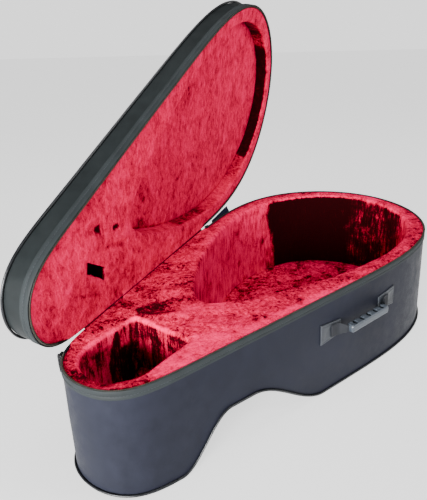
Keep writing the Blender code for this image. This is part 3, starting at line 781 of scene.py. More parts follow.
def lid_cover():
    angles = even_angles(outline, 520)
    share = np.linspace(0.0, 1.0, 12)
    rows = []
    for part in share:
        height = LID_RIM + part * (LID_ROOF - 0.0006 - LID_RIM)
        place, out = outline(angles, -0.0012 * part ** 30)
        points = upright(place, height)
        quiet = float(smooth(np.array(height), 0.016, 0.022))
        quiet *= 1.0 - float(smooth(np.array(height), 0.034, 0.040))
        slack = 0.00045 * ripple(points, 16.0, 21.0) + 0.0002 * ripple(points, 45.0, 22.0)
        rows.append(points + (quiet * slack)[:, None] * upright(out, 0.0))
    for height in (LID_ROOF - 0.0006, LID_RIM):
        place, out = outline(angles, -COVER)
        rows.append(upright(place, height))
    ring_piece("lid_cover_cloth", rows, LOOKS["lid_cover"], LID, "lid",
               ["lid_cover_wall"], sharp=60.0)
    grid = lens_grid(outline, 110, 41, -0.0012)
    edge = rim_distance(grid)
    flat = upright(grid, LID_ROOF)
    crown = 0.0016 * smooth(edge, 0.0, 0.05) - 0.0006 * (1.0 - smooth(edge, 0.0, 0.004))
    crown += 0.0004 * ripple(flat, 12.0, 23.0) * smooth(edge, 0.006, 0.03)
    top = upright(grid, LID_ROOF + crown)
    low = upright(grid, LID_ROOF - COVER)
    slab_piece("lid_cover_top", top, low, LOOKS["lid_cover"], LID, "lid",
               ["lid_cover_roof"], sharp=50.0)


# Plush linings

LIP_PROFILE = ((0.0, 1.4), (0.3, 0.6), (1.0, 0.15), (2.2, -0.2), (4.5, -0.6), (10.0, -0.9))
HINGE_LIP_PROFILE = ((0.0, -1.5), (0.3, -2.1), (1.0, -2.5), (2.2, -2.7), (4.5, -2.3), (9.0, -1.3),
                     (14.0, -0.9), (40.0, -0.9))
HINGE_LIP_LIFT = 0.0014


def loop_distance(places, loop):
    """Distance of plan points from a closed line of points."""
    flat = places.reshape(-1, 2)
    best = np.full(len(flat), 1.0)
    for block in np.array_split(loop, 12):
        gaps = np.linalg.norm(flat[:, None, :] - block[None, :, :], axis=2).min(axis=1)
        best = np.minimum(best, gaps)
    return best.reshape(places.shape[:-1])


def line_distance(places, corners):
    """Distance of plan points from an open line."""
    best = np.full(places.shape[:-1], 1.0)
    for first, second in zip(corners, corners[1:]):
        first = np.array(first)
        step = np.array(second) - first
        share = np.clip(((places - first) @ step) / (step @ step), 0.0, 1.0)
        near = first + share[..., None] * step
        best = np.minimum(best, np.linalg.norm(places - near, axis=-1))
    return best


def creases(places, lines):
    """Rise over ridges and fall into folds: lines of (points in mm, width in mm, rise in mm)."""
    total = np.zeros(places.shape[:-1])
    for corners, width, rise in lines:
        gap = line_distance(places, [(0.001 * x, 0.001 * y) for x, y in corners])
        total += 0.001 * rise * np.exp(-(gap / (0.001 * width)) ** 2)
    return total


def spokes(inner, centre, split, keep, hinge_lip):
    """Where lines from a centre through the inner edge meet the lip, or the split across.

    Along the hinge there is no zip coil, and the lip reaches out further over the rim.
    """
    start, end = SLIDER_X
    x = outline(RIM_ANGLES)[0][:, 0]
    hinged = smooth(x, start + 0.008, start + 0.022) * (1.0 - smooth(x, end - 0.022, end - 0.008))
    hinged *= np.sin(RIM_ANGLES) > 0.0
    reach, normals = outline(RIM_ANGLES, LIP_OFFSET + (hinge_lip - LIP_OFFSET) * hinged)
    turn = np.arctan2(reach[:, 1] - centre[1], reach[:, 0] - centre[0])
    order = np.argsort(turn)
    away = inner - np.array(centre)
    look_at = np.arctan2(away[:, 1], away[:, 0])
    far = np.linalg.norm(reach - np.array(centre), axis=1)

    def at(values):
        return np.interp(look_at, turn[order], values[order], period=2.0 * np.pi)

    way = np.stack([np.cos(look_at), np.sin(look_at)], -1)
    outer = np.array(centre) + at(far)[:, None] * way
    out = np.stack([at(normals[:, 0]), at(normals[:, 1])], -1)
    out /= np.linalg.norm(out, axis=1)[:, None]
    past = keep * (outer[:, 0] - split) < 0.0
    cut = (split - centre[0]) / np.where(np.abs(way[:, 0]) < 1e-6, 1e-6, way[:, 0])
    outer = np.where(past[:, None], np.array(centre) + cut[:, None] * way, outer)
    out = np.where(past[:, None], np.array([-float(keep), 0.0]), out)
    for k in np.flatnonzero(past != np.roll(past, 1)):
        corner = k if not past[k] else k - 1
        side = reach[reach[:, 1] * outer[corner, 1] > 0.0]
        side = side[np.argsort(side[:, 0])]
        outer[corner] = (split, np.interp(split, side[:, 0], side[:, 1]))
    return outer, out, past, np.where(past, 0.0, at(hinged))


def lining_rows(inner, away, centre, split, keep, ledge, way, roll, end_height, body_offset,
                relief, ledge_rows=26, wall_rows=34, wall_wave=0.0014, hinge_lip=HINGE_LIPS[0]):
    """Section lines of one padded ring, from its hidden back over the lip to the wall's foot.

    way is 1 where the ledge faces up and -1 where it faces down. relief gives the ledge's
    folds at plan points.
    """
    outer, out, seam, hinged = spokes(inner, centre, split, keep, hinge_lip)
    inside = outer - ((hinge_lip - LIP_OFFSET) * hinged)[:, None] * out
    back = np.where(seam, 0.0, body_offset - LIP_OFFSET)[:, None]
    hidden = inside + back * out
    under = -0.0022 + (0.0022 + HINGE_LIP_LIFT) * hinged
    rows = [upright(hidden, ledge - way * 0.018), upright(hidden, ledge - way * 0.0024),
            upright(inside, ledge - way * 0.0024), upright(inside, ledge + way * under)]
    top = inner + roll * away
    span = top - outer
    size = np.linalg.norm(span, axis=1)
    shares = [np.full(len(inner), 0.0)]
    shares += [0.001 * step / size for step in (0.3, 1.0, 2.2)]
    last = shares[-1]
    for step in range(1, ledge_rows + 1):
        shares.append(last + (1.0 - last) * step / ledge_rows)
    steps, falls = zip(*LIP_PROFILE)
    rolled, lifted = zip(*HINGE_LIP_PROFILE)
    for share in shares:
        place = outer + share[:, None] * span
        edge = rim_distance(place) + LIP_OFFSET
        fall = 0.001 * np.interp(1000.0 * edge, steps, falls)
        run = 1000.0 * share * size
        fall += hinged * (0.001 * np.interp(run, rolled, lifted) - fall)
        near = (1.0 - share) * size
        fall += 0.0009 * (1.0 - smooth(near, 0.0, 0.012))
        points = upright(place, 0.0)
        quiet = smooth(edge, 0.001, 0.008) * (1.0 - 0.7 * hinged * (1.0 - smooth(run, 3.0, 10.0)))
        rise = quiet * (relief(place) + 0.0010 * ripple(points, 26.0, 31.0)
                        + 0.0006 * ripple(points, 75.0, 32.0))
        rise += 0.00025 * smooth(edge, 0.0, 0.003) * ripple(points, 240.0, 33.0)
        rows.append(upright(place, ledge + way * (rise - fall)))
    inward = upright(-away, 0.0)
    top_rise = relief(top) + 0.0010 * ripple(upright(top, 0.0), 26.0, 31.0)
    top_rise += 0.0006 * ripple(upright(top, 0.0), 75.0, 32.0)
    for turn in np.linspace(0.5 * np.pi, 0.0, 6)[1:]:
        growth = roll * (1.0 - math.cos(turn))
        drop = roll * (1.0 - math.sin(turn))
        place = inner + growth * away
        points = upright(place, ledge - way * drop)
        points[:, 2] += way * top_rise * math.sin(turn)
        wave = wall_relief(points, wall_wave) * math.cos(turn)
        rows.append(points + wave[:, None] * inward)
    foot = end_height(inner[:, 0])
    start = ledge - way * roll
    for step in range(1, wall_rows + 1):
        share = step / wall_rows
        points = upright(inner, start + share * (foot - start))
        rows.append(points + wall_relief(points, wall_wave)[:, None] * inward)
    return rows, foot, hidden


def wall_relief(points, wave):
    """Slack of the plush on upright walls: long upright folds with smaller tufts on them."""
    folds = ripple(points, 30.0, 41.0, (1.0, 1.0, 0.16))
    small = ripple(points, 95.0, 42.0, (1.0, 1.0, 0.22))
    tufts = ripple(points, 260.0, 43.0)
    return wave * (folds + 0.45 * small) + 0.00022 * tufts


def window(value, start, end, soft):
    """1 between two limits, falling to 0 over a soft edge."""
    return smooth(value, start - soft, start + soft) * (1.0 - smooth(value, end - soft, end + soft))


def within(places, corners, soft):
    """1 inside a plan polygon, falling to 0 over a soft edge."""
    x, y = places[..., 0], places[..., 1]
    odd = np.zeros(x.shape, bool)
    closed = list(corners) + [corners[0]]
    for (x0, y0), (x1, y1) in zip(closed, closed[1:]):
        crosses = (y0 > y) != (y1 > y)
        odd ^= crosses & (x < x0 + (x1 - x0) * (y - y0) / (y1 - y0 if y1 != y0 else 1.0))
    gap = line_distance(places, closed) * np.where(odd, 1.0, -1.0)
    return smooth(gap, -soft, soft)


def pile_and_light_patches(places, tones):
    """Pile patches and painted light and shade at plan points: tones of (corners in mm, soft edge in mm, lean)."""
    points = upright(places, 0.0)
    bend = np.stack([ripple(points, 42.0, 91.0), ripple(points, 42.0, 92.0)], -1)
    bend += 0.5 * np.stack([ripple(points, 130.0, 93.0), ripple(points, 130.0, 94.0)], -1)
    places = places + 0.0035 * bend
    total = np.zeros(places.shape[:-1])
    for corners, soft, lean in tones:
        outline_of_patch = [(0.001 * x, 0.001 * y) for x, y in corners]
        total += lean * within(places, outline_of_patch, 0.001 * soft)
    return total


def pile_and_painted_light(rows, ledge, way, tones, wall, inner, highlight_span=(0.0, 0.0)):
    """Pile patches and painted light and shade on every point of a lining: by plan on the ledge, by wall below it.

    wall gives the values for arrays of the share of the way round and the depth in mm. A
    painted highlight runs along the rolled edge over a span of the way round.
    """
    points = np.array(rows)
    depth = way * (ledge - points[..., 2])
    share = smooth(depth, 0.003, 0.008)
    around = np.broadcast_to(np.arange(points.shape[1]) / points.shape[1], depth.shape)
    around = around + 0.004 * ripple(points, 40.0, 95.0, (1.0, 1.0, 0.5))
    around = around + 0.0025 * ripple(points, 150.0, 96.0, (1.0, 1.0, 0.3))
    flat = pile_and_light_patches(points[..., :2], tones)
    # Painted highlight along the rolled top edge, over the given span of the way round.
    rolled = 1.0 - smooth(np.linalg.norm(points[..., :2] - inner, axis=-1), 0.002, 0.006)
    flat += 0.26 * rolled * window(around, *highlight_span, 0.01)
    return (1.0 - share) * flat + share * wall(around, 1000.0 * depth)


def closed_ring(name, rows, foot, inner, away, look, matrix, body, nodes, lean):
    rows = rows + [upright(inner + 0.004 * away, foot)]
    item = ring_piece(name, rows, look, matrix, body, nodes)
    paint(item, lean(rows))
    return item


BASE_FOLDS = (
    (((266, 136), (286, 111), (296, 92)), 5.0, -1.6),
    (((291, 146), (296, 109), (333, 94)), 5.0, 1.2),
    (((312, 150), (343, 139), (389, 139)), 5.0, -1.3),
    (((223, 95), (244, 74), (264, 43)), 5.0, -1.5),
    (((209, 82), (231, 59), (255, 41)), 4.5, 1.3),
    (((187, 61), (208, 43), (234, 37)), 7.0, -0.9),
    (((172, 48), (183, 21), (208, 7), (228, 8)), 7.0, -0.7),
    (((9, 37), (22, 32)), 2.5, -1.6),
    (((8, 28), (8, -2), (22, -35), (32, -24)), 5.0, -1.6),
    (((63, -67), (60, -64)), 2.0, -1.2),
    (((54, -61), (58, -60)), 2.0, -1.0),
    (((96, -81), (92, -79)), 2.0, -1.2),
    (((158, 35), (175, 20), (191, -7)), 6.0, 1.4),
    (((200, -30), (220, -52), (238, -88)), 6.0, -1.4),
    (((160, -20), (185, -50), (205, -85)), 6.0, 1.2),
    (((150, 10), (165, -15), (180, -45)), 5.0, -1.2),
)


# Plan patches painted lighter or darker on the base's ledges: painted light and painted sheen over the handle
# side's ledge and round the wide end, painted shade along the fold at the narrow tip and in three dimples on the
# handle side, and darker and lighter pile patches and streaks.
BASE_PILE_AND_LIGHT = (
    (((155, 64), (189, 58), (228, 36), (239, 12), (225, 3), (197, 9), (166, 19), (153, 40)),
     5.0, -0.20),
    (((84, 90), (148, 98), (176, 85), (155, 64), (118, 65), (70, 62)), 8.0, -0.06),
    (((204, 43), (236, 1), (251, -52), (292, -69), (202, -98), (170, -63), (165, -18)), 8.0, 0.10),
    (((60, -74), (58, -57), (111, -52), (157, -48), (191, -92), (330, -128), (430, -165),
      (330, -200), (150, -150)), 6.0, 0.26),
    (((11, 30), (17, 13), (25, -8), (33, -29), (22, -40), (10, -20), (4, 16)), 3.0, -0.17),
    (((330, 100), (420, 150), (560, 190), (700, 160), (790, 90), (840, 0), (790, -90),
      (700, -160), (500, -150), (500, 100)), 10.0, 0.14),
    (((282, 120), (289, 92), (292, 92), (287, 121)), 2.0, -0.14),
    (((268, 118), (275, 92), (279, 93), (273, 120)), 2.0, -0.14),
    (((250, 110), (262, 78), (266, 79), (256, 112)), 2.0, -0.14),
    (((233, 108), (245, 72), (249, 73), (239, 109)), 2.0, -0.14),
    (((298, 104), (303, 84), (307, 85), (303, 106)), 2.0, -0.14),
    (((60, -62), (64, -66), (66, -64), (62, -60)), 1.5, -0.22),
    (((53, -58), (57, -61), (58, -59), (54, -56)), 1.5, -0.22),
    (((91, -77), (95, -80), (97, -78), (93, -76)), 1.5, -0.22),
)
# A patch painted lighter, as lit, on the bowl floor near the tail wall, and three darker spots.
FLOOR_LIGHT_AND_SPOTS = (
    (((637, 119), (694, 86), (761, 41), (730, 0), (660, 60), (600, 90)), 10.0, 0.14),
    (((585, 90), (600, 70), (612, 80), (604, 97)), 8.0, -0.14),
    (((655, 50), (672, 34), (684, 46), (668, 60)), 8.0, -0.16),
    (((652, 140), (660, 136), (666, 148), (656, 152)), 5.0, -0.16),
)
WELL_FLOOR_TONES = ()


def base_relief(place):
    return creases(place, BASE_FOLDS)


def cavity_painted_light(around, depth):
    """Painted light over the far wall, with darker brushed streaks and spots, and painted shade over the wall
    round the tail and the handle side's wall beside it.
    """
    lean = 0.18 * window(around, 0.11, 0.34, 0.012)
    lean -= 0.12 * window(around, 0.118, 0.18, 0.01) * window(depth, 42.0, 150.0, 10.0)
    for place, low, size, tall in ((0.27, 39.0, 0.006, 8.0), (0.287, 157.0, 0.006, 7.0),
                                   (0.327, 88.0, 0.004, 12.0), (0.326, 144.0, 0.005, 9.0),
                                   (0.276, 112.0, 0.005, 9.0)):
        lean -= 0.30 * np.exp(-((around - place) / size) ** 2 - ((depth - low) / tall) ** 2)
    edge = np.interp(depth, (34.0, 79.0, 125.0), (0.339, 0.347, 0.353))
    dark = smooth(around, edge - 0.004, edge + 0.004)
    lean -= 0.62 * dark * (1.0 - smooth(around, 0.470, 0.500))
    lean -= 0.30 * window(around, 0.485, 0.602, 0.012)
    return lean


def well_painted_light(around, depth):
    """Painted light and shade in the well: its round nose left lighter, as lit, painted shade across its far
    corner and round the rest of its wall, and two narrow painted highlights.
    """
    lean = -0.08 * (1.0 - smooth(around, 0.225, 0.245))
    # Painted shade across the far corner, its edge moving with depth.
    fold = 0.290 - 0.045 * np.minimum(1.0, depth / 50.0)
    lean -= 0.36 * window(around, fold, 0.300, 0.004)
    lean -= 0.36 * window(around, 0.302, 0.352, 0.004) * smooth(depth, 31.0, 38.0)
    lean -= 0.28 * window(around, 0.352, 0.386, 0.004)
    # Painted highlights: a column down the far corner and a thin line on the bowl-side wall.
    lean += 0.50 * np.exp(-((around - 0.362) / 0.007) ** 2 - ((depth - 80.0) / 9.0) ** 2)
    lean -= 0.20 * smooth(around, 0.386, 0.394) * (1.0 - smooth(around, 0.97, 0.99))
    lean += 0.28 * np.exp(-((around - 0.52) / 0.006) ** 2)
    return lean


def base_linings():
    floor = lambda x: underside(x) + PAD_TOP - 0.006
    angles = even_angles(cavity, 430)
    inner, away = cavity(angles)
    rows, foot, _ = lining_rows(inner, away, (0.50, 0.0), BASE_SPLIT, 1, LEDGE, 1, EDGE_ROLL, floor,
                                BODY_OFFSET, base_relief, wall_rows=40)
    turned = lambda around, depth: cavity_painted_light(
        np.interp(around, np.arange(430) / 430.0, angles / (2.0 * np.pi)), depth)
    lean = lambda section: pile_and_painted_light(section, LEDGE, 1, BASE_PILE_AND_LIGHT, turned, inner)
    closed_ring("bowl_lining", rows, foot, inner, away, LOOKS["cavity"], CASE, "base",
                ["bowl_padding", "neck_padding"], lean)
    inner = well_loop(190)
    away = loop_normals(inner)
    rows, foot, _ = lining_rows(inner, away, (0.082, 0.0), BASE_SPLIT + 0.0005, -1, LEDGE, 1,
                                EDGE_ROLL, floor, BODY_OFFSET, base_relief, wall_rows=40)
    # Painted highlight along the well's rolled top edge, from near the nose round to the bowl-side end.
    lean = lambda section: pile_and_painted_light(section, LEDGE, 1, BASE_PILE_AND_LIGHT, well_painted_light, inner,
                                        (0.04, 0.56))
    closed_ring("pegbox_lining", rows, foot, inner, away, LOOKS["well"], CASE, "base",
                ["pegbox_padding"], lean)


def floor_pad(name, grid, edge, node, look, amplitude, tones):
    """Floor pad: a soft sheet over foam, tucked down all round its edge."""
    points = upright(grid, 0.0)
    lumps = ripple(points, 15.0, 51.0) + 0.5 * ripple(points, 40.0, 52.0)
    tufts = ripple(points, 120.0, 53.0)
    tuck = 0.004 * (1.0 - smooth(edge, 0.0, 0.007)) ** 2
    top = underside(grid[..., 0]) + PAD_TOP + amplitude * lumps + 0.0003 * tufts - tuck
    low = underside(grid[..., 0]) + PAD_LOW
    item = slab_piece(name, upright(grid, top), upright(grid, low), LOOKS[look], CASE, "base",
                      [node])
    lean = pile_and_light_patches(grid, tones)
    paint(item, np.concatenate([lean.ravel(), lean.ravel()]))


def well_grid(rows, columns):
    """Grid over the well: rows along X, each as wide as the well is there."""
    loop = well_loop(900)
    side = loop[loop[:, 1] >= 0.0]
    side = side[np.argsort(side[:, 0])]
    start, end, _, _ = WELL
    turn = np.linspace(0.0, np.pi, rows + 2)[1:-1]
    x = start + 0.5 * (end - start) * (1.0 - np.cos(turn))
    width = np.interp(x, side[:, 0], side[:, 1])
    across = np.linspace(-1.0, 1.0, columns)
    return np.stack([np.repeat(x[:, None], columns, axis=1), width[:, None] * across], -1), loop


def floor_pads():
    grid = lens_grid(cavity, 150, 61, 0.0004)
    edge = loop_distance(grid, cavity(np.linspace(0.0, 2.0 * np.pi, 900))[0])
    floor_pad("bowl_floor_cushion", grid, edge, "bowl_floor_pad", "floor", 0.0016,
              FLOOR_LIGHT_AND_SPOTS)
    grid, loop = well_grid(60, 41)
    floor_pad("pegbox_floor_cushion", grid, loop_distance(grid, loop), "pegbox_floor_pad", "floor",
              0.0012, WELL_FLOOR_TONES)


LID_FOLDS = (
    (((153, -41), (144, -43)), 4.5, -3.0),
    (((146, -43), (128, -48)), 3.5, -1.2),
    (((184, -21), (187, -16)), 4.5, -3.0),
    (((137, -14), (168, 0), (201, 21)), 4.0, -1.1),
    (((141, -20), (172, -7), (206, 14)), 4.5, 0.8),
    (((75, 21), (98, 36), (121, 53)), 3.5, -1.1),
    (((86, 52), (88, 54)), 3.0, -1.3),
    (((94, -16), (95, -15)), 2.5, -0.9),
    (((91, 8), (92, 9)), 2.5, -0.9),
    (((43, 13), (44, 14)), 2.5, -0.9),
    (((29, 23), (30, 24)), 2.5, -0.9),
    (((72, 48), (73, 49)), 2.5, -0.9),
)
# Painted shade in the dimples and along the folds of the lid's ledge.
LID_CREASE_SHADE = (
    (((140, -46), (156, -45), (155, -38), (143, -39)), 2.5, -0.42),
    (((128, -51), (142, -46), (142, -42), (128, -47)), 2.5, -0.16),
    (((180, -23), (189, -21), (189, -14), (181, -16)), 2.5, -0.40),
    (((137, -17), (168, -3), (203, 18), (200, 24), (166, 3), (136, -11)), 2.5, -0.12),
    (((75, 18), (98, 33), (123, 50), (119, 56), (96, 39), (73, 24)), 2.5, -0.10),
)
# A band of painted shade on the recess ceiling along its hinge-side wall.
CEILING_WALL_SHADE = (
    (((278, 43), (316, 81), (395, 144), (430, 160), (380, 165), (290, 100), (262, 50)), 9.0, -0.20),
)


def lid_relief(place):
    return creases(place, LID_FOLDS)


def recess_painted_shade(around, depth):
    """Painted shade on the low wall around the lid's recess: darkest round the wide end from the hinge side,
    lighter over the handle side and two stretches of the hinge side.
    """
    lean = -0.50 * window(around, 0.366, 0.560, 0.006)
    lean -= 0.24 * window(around, 0.560, 0.80, 0.006)
    lean -= 0.12 * window(around, 0.324, 0.366, 0.008)
    lean -= 0.16 * window(around, 0.17, 0.240, 0.01)
    return lean


def lid_linings():
    ceiling = lambda x: np.full_like(x, LID_CEILING + 0.003)
    angles = even_angles(recess, 430)
    inner, away = recess(angles)
    rows, foot, _ = lining_rows(inner, away, (0.50, 0.0), LID_SPLIT, 1, LID_LEDGE, -1,
                                LID_EDGE_ROLL, ceiling, LID_BODY_OFFSET, lid_relief, wall_rows=12,
                                wall_wave=0.0010, hinge_lip=HINGE_LIPS[1])
    turned = lambda around, depth: recess_painted_shade(
        np.interp(around, np.arange(430) / 430.0, angles / (2.0 * np.pi)), depth)
    lean = lambda section: pile_and_painted_light(section, LID_LEDGE, -1, LID_CREASE_SHADE, turned, inner)
    closed_ring("lid_bowl_lining", rows, foot, inner, away, LOOKS["lid"], LID, "lid", [], lean)
    inner = pocket_loop(150)
    away = loop_normals(inner)
    middle = inner.mean(axis=0)
    depth = lambda x: np.full_like(x, LID_LEDGE + POCKET_DEPTH)
    rows, foot, hidden = lining_rows(inner, away, tuple(middle), LID_SPLIT + 0.0005, -1, LID_LEDGE,
                                     -1, LID_EDGE_ROLL, depth, LID_BODY_OFFSET, lid_relief,
                                     wall_rows=14, wall_wave=0.0007, hinge_lip=HINGE_LIPS[1])
    for share in (0.8, 0.55, 0.3, 0.1):
        rows.append(upright(middle + share * (inner - middle), foot))
    for share in (0.1, 0.5, 1.0):
        rows.append(upright(middle + share * (hidden - middle), LID_BACK))
    item = ring_piece("lid_neck_lining", rows, LOOKS["lid"], LID, "lid", ["lid_padding"])
    # Painted shade down the pocket's walls, below their first few mm.
    pocket_painted_shade = lambda around, depth: -0.45 * smooth(depth, 3.0, 7.0)
    paint(item, pile_and_painted_light(rows, LID_LEDGE, -1, LID_CREASE_SHADE, pocket_painted_shade, inner))
    grid = lens_grid(recess, 150, 61, 0.0004)
    flat = upright(grid, 0.0)
    edge = loop_distance(grid, recess(np.linspace(0.0, 2.0 * np.pi, 900))[0])
    lumps = ripple(flat, 14.0, 61.0) + 0.5 * ripple(flat, 36.0, 62.0)
    tuck = 0.0025 * (1.0 - smooth(edge, 0.0, 0.006)) ** 2
    low = LID_CEILING + 0.0011 * lumps + 0.0003 * ripple(flat, 130.0, 63.0) + tuck
    item = slab_piece("lid_recess_cushion", upright(grid, LID_BACK), upright(grid, low),
                      LOOKS["lid"], LID, "lid", ["lid_recess_lining"])
    lean = pile_and_light_patches(grid, CEILING_WALL_SHADE)
    paint(item, np.concatenate([lean.ravel(), lean.ravel()]))


# Fabric hinge


def hinge_axis():
    """Point and direction of the hinge line, in the case frame."""
    row = joint_row("lid_hinge")
    back = CASE.inverted()
    return back @ Vector(row["pos_m"]), (back.to_3x3() @ Vector(row["axis"])).normalized()


def side_angle(x, side):
    """Outline angle of a place along X, on the hinge side (1) or the handle side (-1)."""
    angle = np.arccos(1.0 - 2.0 * np.asarray(x, float) / LENGTH)
    return angle if side > 0 else 2.0 * np.pi - angle


def apply_matrix(matrix, points):
    table = np.array(matrix)
    return points @ table[:3, :3].T + table[:3, 3]


def thick_sheet(name, sheet, thickness, look, body, nodes=()):
    """Closed sheet of cloth about a grid of points that lie in the row's own frame."""
    across = np.gradient(sheet, axis=0)
    along = np.gradient(sheet, axis=1)
    normal = np.cross(across, along)
    normal /= np.linalg.norm(normal, axis=-1)[..., None]
    half = 0.5 * thickness * normal
    return slab_piece(name, sheet + half, sheet - half, look, Matrix.Identity(4), body,
                      nodes)


HINGE_ROWS = ((1.75, 15.5), (1.85, 14.6), (1.8, 12.0), (1.75, 9.0), (1.8, 6.4), (1.7, 4.6),
              (1.45, 3.2))


def hinge_cloth():
    """One strip of cloth, sewn on both zip tapes and folded inwards at the hinge line."""
    point, along = hinge_axis()
    x = np.linspace(HINGE_SPAN[0], HINGE_SPAN[1], 230)
    axis_line = np.array(point) + ((x - point.x) / along.x)[:, None] * np.array(along)
    rows = []
    for offset, drop in HINGE_ROWS:
        place, out = outline(side_angle(x, 1), 0.001 * offset)
        points = upright(place, -0.001 * drop)
        points += (0.00022 * ripple(points, 55.0, 71.0))[:, None] * upright(out, 0.0)
        rows.append(points)
    fold = [rows[-1] + share * (axis_line - rows[-1]) for share in (0.35, 0.65, 0.88)]
    low = [apply_matrix(CASE, row) for row in rows + fold]
    high = []
    for row in rows + fold:
        mirrored = row * np.array([1.0, 1.0, -1.0])
        mirrored[:, 2] += LID_GAP
        high.append(apply_matrix(LID, mirrored))
    sheet = np.stack(low + [apply_matrix(CASE, axis_line)] + high[::-1])
    item = thick_sheet("hinge_cloth", sheet, 0.0005, LOOKS["hinge"], None,
                       ["hinge_flap_base", "hinge_flap_lid"])
    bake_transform(item)


def hinge_seams():
    """Stitches that hold the hinge cloth on both tapes."""
    x = np.linspace(HINGE_SPAN[0] + 0.002, HINGE_SPAN[1] - 0.002, 96)
    for name, body, matrix, way in (("hinge_seam_base", "base", CASE, -1.0),
                                    ("hinge_seam_lid", "lid", LID, 1.0)):
        place, out = outline(side_angle(x, 1), 0.00205)
        height = -0.0135 if way < 0.0 else LID_GAP + 0.0135
        outs = upright(out, 0.0)
        alongs = np.stack([outs[:, 1], -outs[:, 0], 0.0 * outs[:, 0]], -1)
        capsules(name, upright(place, height), alongs, outs, (0.0028, 0.0006, 0.0004),
                 LOOKS["thread"], matrix, body)


def zip_end_tab():
    """Loose tab of cover cloth sewn over the closed end of the zip, behind the wide slider."""
    point, along = hinge_axis()
    x = np.linspace(0.499, 0.572, 40)
    place, out = outline(side_angle(x, 1), 0.0)
    gap = np.array(point)[1] + (x - point.x) * along.y / along.x - place[:, 1]
    reach = 0.93 * gap - 0.0008
    rows = []
    for share in np.linspace(0.0, 1.0, 14):
        height = -0.011 + share * (0.011 + reach)
        lean = 0.0021 + 0.55 * np.clip(height, 0.0, 1.0) * smooth(height, 0.0, 0.004)
        lean += 0.0005 * ripple(upright(place, height), 60.0, 72.0) * smooth(share, 0.5, 1.0)
        rows.append(upright(place + lean[:, None] * out, height))
    sheet = apply_matrix(CASE, np.stack(rows))
    item = thick_sheet("zip_end_tab", sheet, 0.0007, LOOKS["tab"], "base")


# Handle


HANDLE_X = 0.423
HANDLE_DROP = 0.063
PATCH_SPREAD = 0.070
PATCH_LENGTH = 0.046
PATCH_OUTER_HEIGHT = 0.035
PATCH_INNER_HEIGHT = 0.025
PATCH_TOP = 0.0028
AXIS_STANDOFF = 0.005
GRIP_LENGTH = 0.094
GRIP_HEIGHT = 0.0135
GRIP_THICKNESS = 0.0135
GRIP_STANDOFF = 0.005
GRIP_SLOTS = 5
SLOT_SPAN = 0.068
SLOT_WIDTH = 0.0065
SLOT_DEPTH = 0.005
SLOT_FRONT_WALL = 0.0025
STRAP_REACH = 0.020


def wall_place(x, side, drop):
    """Matrix at the outer wall: X along the wall, Y out of it, Z up."""
    place, out = outline(side_angle(x, side), WALL_FLARE * drop)
    matrix = Matrix.Identity(4)
    matrix.col[0][:3] = (out[1], -out[0], 0.0)
    matrix.col[1][:3] = (out[0], out[1], 0.0)
    matrix.col[2][:3] = (0.0, 0.0, 1.0)
    matrix.col[3][:3] = (place[0], place[1], -drop)
    return matrix


def on_wall(x, side, centre_drop, along, up, rise):
    """Case points lying on the wall: along and up from a centre, rise out of the wall."""
    share = np.array(wall_place(x, side, centre_drop))[:3, 0]
    where = x + along * share[0]
    drop = centre_drop - up
    place, out = outline(side_angle(where, side), WALL_FLARE * drop + rise)
    return upright(place, -drop)


def patch_edge(along, up):
    """Distance to a patch's edge; along runs from its inner to its outer end."""
    half = 0.5 * PATCH_LENGTH
    tall = 0.5 * (PATCH_OUTER_HEIGHT + PATCH_INNER_HEIGHT) * 0.5
    slope = 0.5 * (PATCH_OUTER_HEIGHT - PATCH_INNER_HEIGHT) / PATCH_LENGTH
    return np.minimum(half - np.abs(along), tall + slope * along - np.abs(up))


def handle_patches():
    for name, side in (("narrow", -1.0), ("wide", 1.0)):
        x = HANDLE_X + side * PATCH_SPREAD
        along = np.linspace(-0.5, 0.5, 93)[:, None] * (PATCH_LENGTH - 0.0004)
        tall = 0.25 * (PATCH_OUTER_HEIGHT + PATCH_INNER_HEIGHT) - 0.0002
        slope = 0.5 * (PATCH_OUTER_HEIGHT - PATCH_INNER_HEIGHT) / PATCH_LENGTH
        up = np.linspace(-1.0, 1.0, 61)[None, :] * (tall + slope * along)
        along = np.broadcast_to(along, up.shape)
        edge = patch_edge(along, up)
        bend = np.clip(edge / 0.0018, 0.0, 1.0)
        rise = 0.0004 + (PATCH_TOP - 0.0006) * np.sqrt(1.0 - (1.0 - bend) ** 2)
        rise -= 0.00045 * np.exp(-((edge - 0.0036) / 0.0006) ** 2)
        rise -= 0.0004 * smooth(edge, 0.006, 0.012)
        local = -side * along
        points = on_wall(x, -1, HANDLE_DROP, local, up, 0.0)
        rise += 0.00022 * ripple(points, 90.0, 81.0) * bend
        top = on_wall(x, -1, HANDLE_DROP, local, up, rise)
        low = on_wall(x, -1, HANDLE_DROP, local, up, 0.0)
        slab_piece("patch_" + name, top, low, LOOKS["patch"], CASE, "base",
                   ["handle_patch_" + name])
        patch_seam(name, x, side, tall, slope)


